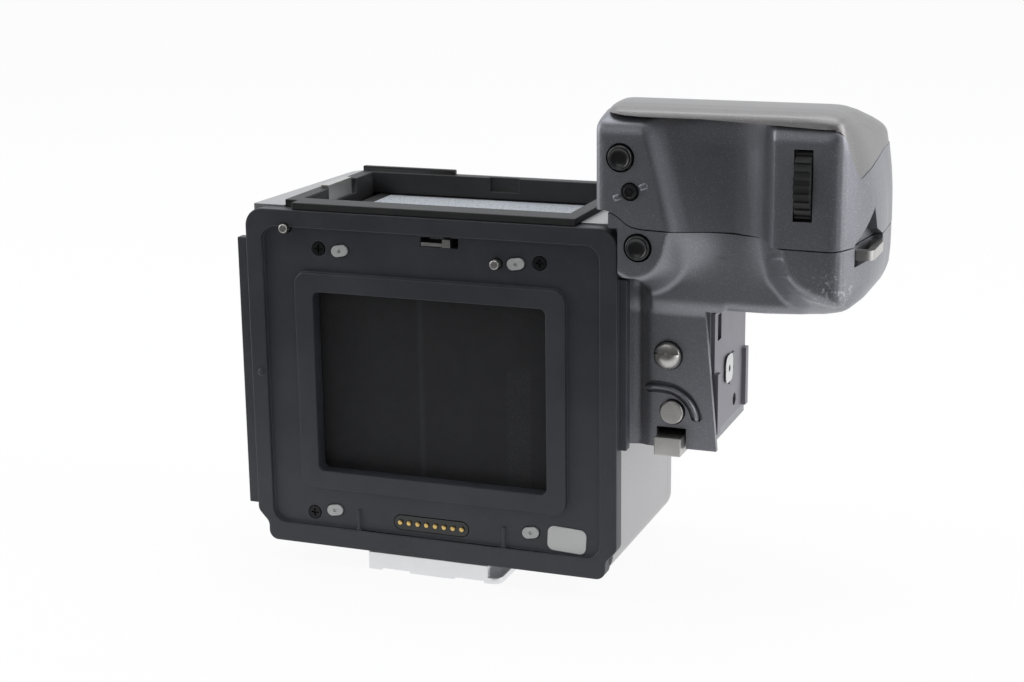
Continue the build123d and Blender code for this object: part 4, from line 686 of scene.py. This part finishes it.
# What is cut off the lower shell: beside the body, at the foot and right of the column.
trim = {
    "bodySide": 45.1,
    "notchRight": 47.3,
    "notchFront": 4.4,
    "notchTop": 42.6,
    "foot": -10.5,
    "columnRight": 66.0,
    "headBottom": 22.6,
    "flangeRear": 10.4,
    "flangeFront": 10.7,
    "flangeTop": 65.2,
    "flangeFoot": 68.4,
    "flangeCorner": -12.0,
    "bodySideTop": 60.0,
    "footRight": 70.0,
    "lobeInside": 95.8,
}
# Bounds that lie outside the whole grip.
beyond = {"left": 30.0, "right": 110.0, "rear": -6.0, "front": 62.0, "below": -30.0, "above": 84.0}


def lowerDepth(x, z):
    seamDepth = thumbDepth(x, np.maximum(z, lower["seam"]), valleyRight)
    base = lower["depth"] + (seamDepth - lower["depth"]) * ease(z, lower["fallFrom"], lower["fallTo"])
    lobe = outlineDistance(x, z, lobeOutline)
    radius = lower["lobeRound"]
    inward = np.clip(lobe + radius, 0, radius)
    slope = np.clip(lobe, 0, lower["lobeReach"]) * lower["lobeSlope"]
    lobeDepth = radius - np.sqrt(radius**2 - inward**2) + slope
    squash = np.where(z < lower["bumpZ"], lower["bumpBelow"], lower["bumpAbove"])
    bumpAway = np.hypot(x - lower["bumpX"], (z - lower["bumpZ"]) * squash)
    shelfHigh = ease(lower["shelfTop"] - z, 0.0, lower["shelfFall"])
    shelf = lower["shelfDepth"] * shelfHigh * ease(lower["shelfRight"] - x, 0, lower["shelfRun"])
    bumpDepth = lower["depth"] * ease(bumpAway, lower["bumpInner"], lower["bumpOuter"]) + shelf
    return softLower(softLower(base, bumpDepth, lower["bumpMeet"]), lobeDepth, lower["lobeMeet"])


def columnTrough(x, z):
    across = (x - column["troughX"]) / column["troughWidth"]
    dip = column["troughDepth"] * np.exp(-(across**2))
    dip = dip - column["rimRise"] * ease(column["rimX"] - x, 0.0, column["rimRun"])
    return dip * ease(column["troughTop"] - z, 0, column["troughFade"])


def lowerField(x, y, z):
    trough = columnTrough(x, z)
    depth = lowerDepth(x, z) + trough
    form = headField(x, y, z, depth, shellPlan, shellFront, head["lowerSoftness"], shellSide)
    sides = np.abs(x - column["middle"]) - column["halfWidth"]
    post = np.maximum(np.maximum(sides, z - column["top"]), column["foot"] - z)
    post = np.maximum(post, np.maximum(column["rear"] + trough - y, y - column["front"]))
    return np.maximum(softLower(form, post, column["meet"]), z - lower["top"])


# The inner face keeps a wall's thickness from the outer one and from what is cut off it later.
def lowerInside(x, y, z):
    notch = np.maximum(x - trim["notchRight"], y - trim["notchFront"])
    cuts = [
        np.maximum(trim["columnRight"] - x, z - trim["headBottom"]),
        x - trim["bodySide"],
        np.maximum(notch, z - trim["notchTop"]),
        z - trim["foot"],
        trim["lobeInside"] - x,
    ]
    field = lowerField(x, y, z) + lower["wall"]
    for away in cuts:
        field = np.maximum(field, lower["wall"] - away)
    return field


# A box round the form, divided finely and drawn in along lines to its centre until it meets the form.
def sculpted(field, low, high, centre, cuts, reach=1.25, halvings=17):
    work = bmesh.new()
    bmesh.ops.create_cube(work, size=1.0)
    bmesh.ops.subdivide_edges(work, edges=work.edges[:], cuts=cuts, use_grid_fill=True)
    low, high, centre = np.array(low), np.array(high), np.array(centre)
    places = np.array([v.co for v in work.verts])
    rays = low + (places + 0.5) * (high - low) - centre
    near = np.zeros(len(rays))
    far = np.full(len(rays), reach)
    for _ in range(halvings):
        middle = (near + far) / 2
        point = centre + rays * middle[:, None]
        outside = field(point[:, 0], point[:, 1], point[:, 2]) > 0
        far = np.where(outside, middle, far)
        near = np.where(outside, near, middle)
    point = centre + rays * ((near + far) / 2)[:, None]
    for vertex, (x, y, z) in zip(work.verts, point):
        vertex.co = at(x, y, z)
    bmesh.ops.recalc_face_normals(work, faces=work.faces[:])
    return work


# The outer form with the inner one, turned inside out, in one mesh.
def hollowMesh(name, outer, inner):
    bmesh.ops.reverse_faces(inner, faces=inner.faces[:])
    innerMesh = meshOf(name + "_inner", inner)
    outer.from_mesh(innerMesh)
    bpy.data.meshes.remove(innerMesh)
    return meshOf(name, outer)


# Rings of the same number of points, joined one after another and closed at both ends.
def lofted(rings):
    work = bmesh.new()
    made = [[work.verts.new(place) for place in ring] for ring in rings]
    count = len(made[0])
    work.faces.new(made[0])
    work.faces.new(made[-1])
    for before, after in zip(made, made[1:]):
        for index in range(count):
            follow = (index + 1) % count
            work.faces.new((before[index], before[follow], after[follow], after[index]))
    bmesh.ops.recalc_face_normals(work, faces=work.faces[:])
    return work


# An outline drawn out along an axis: "x" takes (deep, high) points and "y" takes (x, high) points.
def prism(points, direction, low, high):
    rings = []
    for level in (low, high):
        if direction == "x":
            rings.append([at(level, deep, up) for deep, up in points])
        else:
            rings.append([at(x, level, up) for x, up in points])
    return lofted(rings)


def block(low, high):
    corners = [(low[0], low[2]), (high[0], low[2]), (high[0], high[2]), (low[0], high[2])]
    return prism(corners, "y", low[1], high[1])


# A round rod between two places, in millimetres.
def roundRod(start, end, radius, sides=48):
    work = bmesh.new()
    first, last = at(*start), at(*end)
    way = last - first
    turn = way.to_track_quat("Z", "Y").to_matrix().to_4x4()
    bmesh.ops.create_cone(
        work,
        cap_ends=True,
        segments=sides,
        radius1=radius * mm,
        radius2=radius * mm,
        depth=way.length,
        matrix=Matrix.Translation((first + last) / 2) @ turn,
    )
    return work


# What is left of a mesh within one form and outside the others.
def carve(mesh, cuts, within=None):
    steps = [("DIFFERENCE", cut) for cut in cuts]
    if within is not None:
        steps.insert(0, ("INTERSECT", within))
    target = bpy.data.objects.new("carved", mesh)
    bpy.context.scene.collection.objects.link(target)
    spares = []
    for operation, work in steps:
        spare = bpy.data.objects.new("cutter", meshOf("cutter", work))
        bpy.context.scene.collection.objects.link(spare)
        spares.append(spare)
        step = target.modifiers.new("cut", "BOOLEAN")
        step.operation = operation
        step.object = spare
        step.solver = "MANIFOLD"
    bpy.context.view_layer.update()
    settled = target.evaluated_get(bpy.context.evaluated_depsgraph_get())
    result = bpy.data.meshes.new_from_object(settled)
    for spare in spares:
        spareMesh = spare.data
        bpy.data.objects.remove(spare)
        bpy.data.meshes.remove(spareMesh)
    bpy.data.objects.remove(target)
    return result


# A low rounded ridge along a path on a face that looks to the rear, with narrow ends and a sunk root.
def ridge(path, deep, width, high, sides=8, endWidth=0.35, root=0.8):
    rings = []
    for index, (x, z) in enumerate(path):
        before = path[max(index - 1, 0)]
        after = path[min(index + 1, len(path) - 1)]
        run = Vector((after[0] - before[0], after[1] - before[1])).normalized()
        share = endWidth if index in (0, len(path) - 1) else 1.0
        ring = []
        for step in range(sides + 1):
            turn = math.pi * step / sides
            off = math.cos(turn) * width / 2 * share
            ring.append(at(x - run.y * off, deep - math.sin(turn) * high * share, z + run.x * off))
        off = -width / 2 * share
        ring.append(at(x - run.y * off, deep + root, z + run.x * off))
        ring.append(at(x + run.y * off, deep + root, z - run.x * off))
        rings.append(ring)
    return lofted(rings)


# The seam between the shells, as it runs across the rear face.
seamGap = 0.14
seamLeft, seamRight = 38.0, 108.0
seamCurve = [
    (seamLeft, 46.4),
    (44.3, 46.4),
    (45.8, 46.0),
    (47.2, 45.2),
    (49.2, 43.6),
    (50.6, 42.95),
    (52.6, 42.6),
    (58.5, 42.4),
    (62.0, 41.9),
    (68.0, 41.6),
    (74.0, 41.1),
    (78.5, 41.1),
    (80.8, 40.7),
    (82.4, 40.1),
    (96.0, 40.0),
    (101.0, 40.6),
    (seamRight, 42.4),
]


def belowSeam(shift):
    points = [(x, z + shift) for x, z in seamCurve]
    points += [(seamRight, beyond["below"]), (seamLeft, beyond["below"])]
    return prism(points, "y", beyond["rear"], beyond["front"])


# The top is level in a strip at the rear and slopes down to the front from there.
topSlope = {"angle": math.radians(16.0), "levelTo": 13.0, "pivotY": 14.0, "pivotZ": 70.0}
coverSeam = [  # the cover's lower edge across the rear face
    (30.0, 68.2),
    (44.0, 68.2),
    (48.5, 67.7),
    (52.6, 67.5),
    (66.0, 67.5),
    (75.0, 67.1),
    (86.0, 66.6),
    (92.0, 66.3),
    (97.0, 66.2),
    (112.0, 66.4),
]


def coverRegion(shift):
    rear, level, front, above = beyond["rear"], topSlope["levelTo"], beyond["front"], beyond["above"]
    fall = (front - level) * math.tan(topSlope["angle"])
    rings = []
    for x, z in coverSeam:
        low = z + shift
        ring = [(rear, low), (level, low), (front, low - fall), (front, above), (rear, above)]
        rings.append([at(x, y, high) for y, high in ring])
    return lofted(rings)


# The cover's flap on the right side, drawn in (deep, high) points.
flap = {"inner": 95.6, "outer": 108.0, "middleZ": 61.0}
flapShape = [
    (-1.5, 69.5),
    (0.3, 66.6),
    (2.0, 63.2),
    (3.2, 60.0),
    (4.4, 57.1),
    (6.0, 55.2),
    (9.5, 56.2),
    (17.5, 57.4),
    (30.0, 58.6),
    (38.0, 58.4),
    (41.5, 61.0),
    (43.0, 69.5),
]


def flapRegion(grow):
    middleY = sum(p[0] for p in flapShape) / len(flapShape)
    points = []
    for y, z in flapShape:
        away = Vector((y - middleY, z - flap["middleZ"]))
        moved = away * (1 + grow / away.length)
        points.append((middleY + moved.x, flap["middleZ"] + moved.y))
    return prism(points, "x", flap["inner"] - grow, flap["outer"])


# Recess round the strap lug: its floor turns to the rear, and its ends run out in the side face.
lugOuter = 108.0
lugRings = [  # deep, floor, low, high
    (4.3, 98.7, 36.0, 41.0),
    (11.0, 99.5, 37.3, 47.0),
    (12.4, 99.7, 37.3, 48.2),
    (13.8, 99.9, 37.3, 43.2),
    (19.4, 100.8, 37.3, 40.9),
]


def lugRecess():
    rings = []
    for y, floorX, low, high in lugRings:
        corners = ((floorX, low), (lugOuter, low), (lugOuter, high), (floorX, high))
        rings.append([at(x, y, z) for x, z in corners])
    return lofted(rings)


rearButtons = {
    "focus_button": (47.9, 58.5, 3.0),
    "select_button": (50.2, 51.0, 1.8),
    "exposure_lock_button": (52.0, 38.4, 3.0),
}
dials = {"rear_dial": (89.0, 8.3, 54.2, 11.8), "front_dial": (74.0, 48.6, 48.2, 8.8)}
openings = {"buttonGap": 0.3, "buttonRear": -3.0, "buttonFront": 5.0, "dialHalf": 2.1}


def sharedCuts():
    cuts = []
    for x, z, radius in rearButtons.values():
        ends = (x, openings["buttonRear"], z), (x, openings["buttonFront"], z)
        cuts.append(roundRod(*ends, radius + openings["buttonGap"]))
    for x, y, z, radius in dials.values():
        ends = (x - openings["dialHalf"], y, z), (x + openings["dialHalf"], y, z)
        cuts.append(roundRod(*ends, radius, 96))
    cuts.append(lugRecess())
    return cuts


# A level place on the top, turned onto its forward slope.
def tiltedTop(x, y, z):
    dy, dz = y - topSlope["pivotY"], z - topSlope["pivotZ"]
    cosine, sine = math.cos(topSlope["angle"]), math.sin(topSlope["angle"])
    return (x, topSlope["pivotY"] + dy * cosine + dz * sine, topSlope["pivotZ"] - dy * sine + dz * cosine)


# Button holes and the display window in the top cover: the glass lies on a ledge within its opening.
topHoles = {
    "low": 60.0,
    "high": 74.0,
    "round": [(86.8, 33.0, 4.75), (86.0, 20.5, 2.65), (57.0, 40.0, 2.75), (69.0, 40.0, 2.75)],
}
window = {
    "left": 49.0,
    "right": 77.0,
    "near": 18.5,
    "far": 32.5,
    "top": 74.0,
    "seat": 68.7,
    "ledge": 1.5,
    "ledgeTop": 70.0,
    "ledgeLow": 66.0,
}


def windowCut(shrink, low, high):
    left, right = window["left"] + shrink, window["right"] - shrink
    near, far = window["near"] + shrink, window["far"] - shrink
    corners = [(left, near), (right, near), (right, far), (left, far)]
    return lofted([[at(*tiltedTop(x, y, level)) for x, y in corners] for level in (low, high)])


def topCuts():
    cuts = []
    for x, y, radius in topHoles["round"]:
        ends = tiltedTop(x, y, topHoles["low"]), tiltedTop(x, y, topHoles["high"])
        cuts.append(roundRod(*ends, radius, 64))
    cuts.append(windowCut(0.0, window["seat"], window["top"]))
    cuts.append(windowCut(window["ledge"], window["ledgeLow"], window["ledgeTop"]))
    return cuts


def hollowHead(name, field, cuts):
    outer = sculpted(field, head["low"], head["high"], head["middle"], cuts)
    inner = sculpted(headInside, head["low"], head["high"], head["middle"], head["insideCuts"])
    return hollowMesh(name, outer, inner)


upperMesh = carve(
    hollowHead("grip_upper", upperField, head["shellCuts"]),
    [belowSeam(seamGap), coverRegion(-seamGap), flapRegion(seamGap)] + sharedCuts(),
)
gripUpper = finishPiece("grip_upper_skin", upperMesh, "grip_paint", "camera")
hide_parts("grip_upper_shell")
print("upper shell sculpted:", len(gripUpper.data.polygons))

flapOverlap = 0.02
coverBody = hollowHead("grip_cover", coverField, head["coverCuts"])
joined = bmesh.new()
joined.from_mesh(carve(coverBody.copy(), topCuts(), coverRegion(seamGap)))
joined.from_mesh(carve(coverBody, [coverRegion(seamGap - flapOverlap)], flapRegion(0.0)))
gripCover = newPiece("grip_cover_skin", joined, "top_paint", "camera")
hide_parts("grip_top_cover")
print("cover sculpted:", len(gripCover.data.polygons))

# Places of the battery grip's controls on the column, and the raised guard round the release button.
batteryHoles = {"lock": (56.6, 11.6, 3.5), "release": (57.7, -1.8, 3.1), "rear": 4.0, "front": 14.0}
latchSlot = ((54.0, 3.0, -12.0), (61.0, 14.0, -5.6))
sidePlateSlot = ((63.0, 12.0, -7.5), (70.0, 41.0, 21.5))
guard = {"deep": 9.3, "width": 1.3, "high": 1.3, "grooveDeep": 9.0, "grooveWidth": 2.8, "grooveHigh": 0.9}
guardPath = [
    (51.1, 3.5),
    (51.7, 3.75),
    (53.5, 4.0),
    (55.6, 3.95),
    (57.8, 3.6),
    (59.6, 2.8),
    (61.2, 1.6),
    (62.4, 0.1),
    (63.1, -1.4),
    (63.6, -3.1),
    (63.65, -3.7),
]


def batteryHole(name):
    x, z, radius = batteryHoles[name]
    return roundRod((x, batteryHoles["rear"], z), (x, batteryHoles["front"], z), radius)


def lowerCuts():
    left, right, rear, front, below = (beyond[side] for side in ("left", "right", "rear", "front", "below"))
    flange = [
        (trim["flangeTop"], trim["headBottom"]),
        (trim["flangeFoot"], trim["flangeCorner"]),
        (trim["flangeFoot"], below),
        (right, below),
        (right, trim["headBottom"]),
    ]
    return [
        block((trim["columnRight"], trim["flangeRear"], below), (right, front, trim["headBottom"])),
        prism(flange, "y", rear, trim["flangeFront"]),
        ridge(guardPath, guard["grooveDeep"], guard["grooveWidth"], guard["grooveHigh"]),
        block((left, rear, below), (trim["footRight"], front, trim["foot"])),
        block((left, rear, below), (trim["bodySide"], front, trim["bodySideTop"])),
        block((left, rear, below), (trim["notchRight"], trim["notchFront"], trim["notchTop"])),
        batteryHole("lock"),
        batteryHole("release"),
        block(*latchSlot),
        block(*sidePlateSlot),
    ]


lowerBody = hollowMesh(
    "grip_lower",
    sculpted(lowerField, lower["low"], lower["high"], lower["middle"], lower["cuts"]),
    sculpted(lowerInside, lower["low"], lower["high"], lower["middle"], lower["insideCuts"]),
)
lowerMesh = carve(lowerBody, lowerCuts() + sharedCuts(), belowSeam(-seamGap))
gripLower = finishPiece("grip_lower_skin", lowerMesh, "grip_paint", "camera")
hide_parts("grip_lower_shell")
print("lower shell sculpted:", len(gripLower.data.polygons))


# A profile of (radius, outward) points turned round an axis.
def turned(profile, place, outward, sides=64):
    work = bmesh.new()
    way = Vector(outward).normalized()
    side = way.orthogonal().normalized()
    verts = [work.verts.new(at(*place) + (side * radius + way * high) * mm) for radius, high in profile]
    edges = [work.edges.new(pair) for pair in zip(verts, verts[1:])]
    bmesh.ops.spin(
        work,
        geom=verts + edges,
        cent=at(*place),
        axis=way,
        angle=2 * math.pi,
        steps=sides,
        use_merge=True,
        use_duplicate=False,
    )
    bmesh.ops.remove_doubles(work, verts=work.verts[:], dist=0.001 * mm)
    return work


toRear = (0, -1, 0)
capDeep = -0.5
dishedCap = [
    (0, 0.3),
    (1.1, 0.33),
    (1.9, 0.46),
    (2.15, 0.62),
    (2.3, 0.78),
    (2.46, 0.8),
    (2.62, 0.72),
    (2.78, 0.45),
    (2.9, 0.1),
    (2.95, -0.4),
    (2.95, -1.8),
    (0, -1.8),
]
selectCap = [
    (0, 0.5),
    (0.55, 0.5),
    (0.62, 0.36),
    (0.82, 0.36),
    (0.9, 0.52),
    (1.2, 0.52),
    (1.3, 0.62),
    (1.62, 0.6),
    (1.75, 0.3),
    (1.78, -0.4),
    (1.78, -1.8),
    (0, -1.8),
]
for name, (x, z, radius) in rearButtons.items():
    profile = selectCap if name == "select_button" else dishedCap
    cap = turned(profile, (x, capDeep, z), toRear)
    piece = newPiece(name + "_cap", cap, "button_black", bodyOf[name])
    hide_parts(name)

# Bright dome of the battery lock, with the flat step across its upper part.
dome = {
    "deep": 8.6,
    "radius": 3.25,
    "high": 2.9,
    "root": -1.6,
    "steps": 12,
    "cutAt": 0.7,
    "stepFrom": 0.75,
    "stepLevel": 0.9,
    "stepShare": 0.25,
}


def lockDome():
    lockX, lockZ = batteryHoles["lock"][:2]
    profile = [(0, dome["high"])]
    for step in range(1, dome["steps"] + 1):
        turn = math.radians(90.0 / dome["steps"] * step)
        profile.append((dome["radius"] * math.sin(turn), dome["high"] * math.cos(turn)))
    profile += [(dome["radius"], dome["root"]), (0, dome["root"])]
    centre = at(lockX, dome["deep"], lockZ)
    work = turned(profile, (lockX, dome["deep"], lockZ), toRear)
    bmesh.ops.bisect_plane(
        work,
        geom=work.verts[:] + work.edges[:] + work.faces[:],
        plane_co=at(lockX, dome["deep"], lockZ + dome["cutAt"]),
        plane_no=(0, 0, 1),
    )
    level = dome["stepLevel"] * mm
    for vertex in work.verts:
        local = vertex.co - centre
        if local.z > dome["stepFrom"] * mm and -local.y > level:
            vertex.co.y = centre.y - (level + (-local.y - level) * dome["stepShare"])
    return work


domeBody = bodyOf["battery_lock_button"]
domePiece = newPiece("battery_lock_dome", lockDome(), "steel", domeBody, 40.0)
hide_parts("battery_lock_button")

guardWork = ridge(guardPath, guard["deep"], guard["width"], guard["high"])
newPiece("release_guard", guardWork, "grip_paint", "camera", 60.0)

# Short raised lines on both sides of the select button.
tabs = {
    "x": 50.2,
    "z": 50.9,
    "turn": math.radians(24.0),
    "deep": -0.45,
    "width": 1.5,
    "high": 0.32,
    "ends": {"left": (-4.3, -2.3), "right": (2.3, 4.4)},
    "shares": (0.0, 0.15, 0.5, 0.85, 1.0),
}
for tag, (start, end) in tabs["ends"].items():
    path = []
    for share in tabs["shares"]:
        along = start + (end - start) * share
        path.append((tabs["x"] + along * math.cos(tabs["turn"]), tabs["z"] + along * math.sin(tabs["turn"])))
    tab = ridge(path, tabs["deep"], tabs["width"], tabs["high"])
    newPiece("select_tab_" + tag, tab, "grip_paint", "camera", 60.0)


# Corner points of a thin plate with round corners, about its own middle.
def plateOutline(width, tall, corner, steps=6):
    points = []
    for sx, sz, start in ((1, 1, 0), (-1, 1, 90), (-1, -1, 180), (1, -1, 270)):
        for step in range(steps + 1):
            turn = math.radians(start + 90 / steps * step)
            across = sx * (width / 2 - corner) + corner * math.cos(turn)
            points.append((across, sz * (tall / 2 - corner) + corner * math.sin(turn)))
    return points


# A bare label plate on the rear plate, slightly turned.
plateLabel = {
    "x": 34.4,
    "z": -33.4,
    "turn": math.radians(-3.0),
    "size": (9.6, 6.0, 1.6),
    "layer": (1.0, 1.19),
}
labelCos, labelSin = math.cos(plateLabel["turn"]), math.sin(plateLabel["turn"])
labelPoints = []
for across, high in plateOutline(*plateLabel["size"]):
    x = plateLabel["x"] + across * labelCos - high * labelSin
    z = plateLabel["z"] + across * labelSin + high * labelCos
    labelPoints.append((x, z))
labelWork = prism(labelPoints, "y", *plateLabel["layer"])
newPiece("plate_label", labelWork, "label_white", "camera", 60.0)

# Another one on the column's side plate, with a hole in its middle.
sideLabel = {
    "y": 24.1,
    "z": 5.6,
    "size": (6.4, 6.6, 1.9),
    "layer": (67.2, 67.32),
    "hole": 0.85,
    "holeEnds": (66.0, 69.0),
}
sidePoints = [(sideLabel["y"] + a, sideLabel["z"] + b) for a, b in plateOutline(*sideLabel["size"])]
sideHole = [(x, sideLabel["y"], sideLabel["z"]) for x in sideLabel["holeEnds"]]
sideMesh = carve(
    meshOf("side_label", prism(sidePoints, "x", *sideLabel["layer"])),
    [roundRod(*sideHole, sideLabel["hole"], 32)],
)
finishPiece("side_label", sideMesh, "label_white", "camera")
print("small pieces made")


# Pale floor: it looks white itself and in reflections, and takes soft light from the lamps besides.
floor = {"size": 3.0, "shift": 2.86, "parts": 8, "grey": 0.82, "shine": 0.93}


def floorSurface():
    material = bpy.data.materials.new("floor_white")
    material.use_nodes = True
    material.node_tree.nodes.clear()
    sheet = Sheet(material.node_tree)
    cameraRay = sheet.node("ShaderNodeLightPath", output="Is Camera Ray")
    seen = cameraRay.highest(cameraRay.other("Is Glossy Ray"))
    seen = seen.highest(cameraRay.other("Is Transmission Ray")) * floor["shine"]
    grey = floor["grey"]
    diffuse = sheet.node("ShaderNodeBsdfDiffuse", {}, {"Color": colour(grey, grey, grey)})
    glow = sheet.node("ShaderNodeEmission", {}, {"Strength": 1.0})
    blend = sheet.node("ShaderNodeMixShader", {}, [seen, diffuse, glow])
    sheet.node("ShaderNodeOutputMaterial", {}, {"Surface": blend})
    return material


floorWork = bmesh.new()
bmesh.ops.create_grid(
    floorWork,
    x_segments=floor["parts"],
    y_segments=floor["parts"],
    size=floor["size"],
    matrix=Matrix.Translation((0, floor["shift"], 0)),
)
floorMesh = meshOf("floor", floorWork)
floorMesh.materials.append(floorSurface())
floorPiece = bpy.data.objects.new("floor", floorMesh)
bpy.context.scene.collection.objects.link(floorPiece)

# The room is white at the sides and behind, and dim on the side that the rear face looks to.
room = {"dimFrom": -0.8, "dimTo": 0.2, "dimmest": 0.09, "tint": colour(0.96, 0.98, 1.0)}
world = bpy.data.worlds.new("studio")
bpy.context.scene.world = world
world.use_nodes = True
world.node_tree.nodes.clear()
sheet = Sheet(world.node_tree)
way = sheet.node("ShaderNodeTexCoord", output="Generated")
alongY = sheet.node("ShaderNodeSeparateXYZ", {}, [way], 1)
strength = alongY.between(room["dimFrom"], room["dimTo"], room["dimmest"])
roomLight = sheet.node("ShaderNodeBackground", {}, {"Color": room["tint"], "Strength": strength})
white = sheet.node("ShaderNodeBackground", {}, {"Color": colour(1.0, 1.0, 1.0), "Strength": 1.0})
cameraRay = sheet.node("ShaderNodeLightPath", output="Is Camera Ray")
roomMix = sheet.node("ShaderNodeMixShader", {}, [cameraRay, roomLight, white])
sheet.node("ShaderNodeOutputWorld", {}, {"Surface": roomMix})

lampAim = Vector((0.025, 0.0, 0.06))
lamps = {  # place, width, height, power
    "lamp_top": ((0.0, 0.1, 0.95), 0.9, 0.7, 3.0),
    "lamp_left": ((-0.85, -0.2, 0.35), 0.5, 0.8, 3.0),
    "lamp_right": ((0.95, 0.05, 0.4), 0.4, 0.8, 4.0),
    "lamp_fill": ((-0.3, -1.1, 0.6), 0.6, 0.5, 1.1),
}
for name, (place, width, height, power) in lamps.items():
    light = bpy.data.lights.new(name, "AREA")
    light.shape = "RECTANGLE"
    light.size = width
    light.size_y = height
    light.energy = power
    lamp = bpy.data.objects.new(name, light)
    bpy.context.scene.collection.objects.link(lamp)
    lamp.location = place
    lamp.rotation_euler = (lampAim - Vector(place)).to_track_quat("-Z", "Y").to_euler()
print("studio lit:", len(lamps), "lamps")

# The camera stands right of the object and looks slightly down.
view = {
    "place": (0.1754, -0.4356, 0.1722),
    "right": Vector((0.935, 0.354, -0.012)),
    "up": Vector((-0.077, 0.237, 0.969)),
    "ahead": Vector((-0.346, 0.905, -0.249)),
    "sensor": 36.0,
    "lens": 67.46,
}
cameraData = bpy.data.cameras.new("camera_view")
cameraData.sensor_width = view["sensor"]
cameraData.lens = view["lens"]
camera = bpy.data.objects.new("camera_view", cameraData)
bpy.context.scene.collection.objects.link(camera)
look = Matrix((view["right"].normalized(), view["up"].normalized(), -view["ahead"].normalized())).transposed()
camera.matrix_world = Matrix.Translation(view["place"]) @ look.to_4x4()
bpy.context.scene.camera = camera
bpy.context.scene.view_settings.view_transform = "Standard"
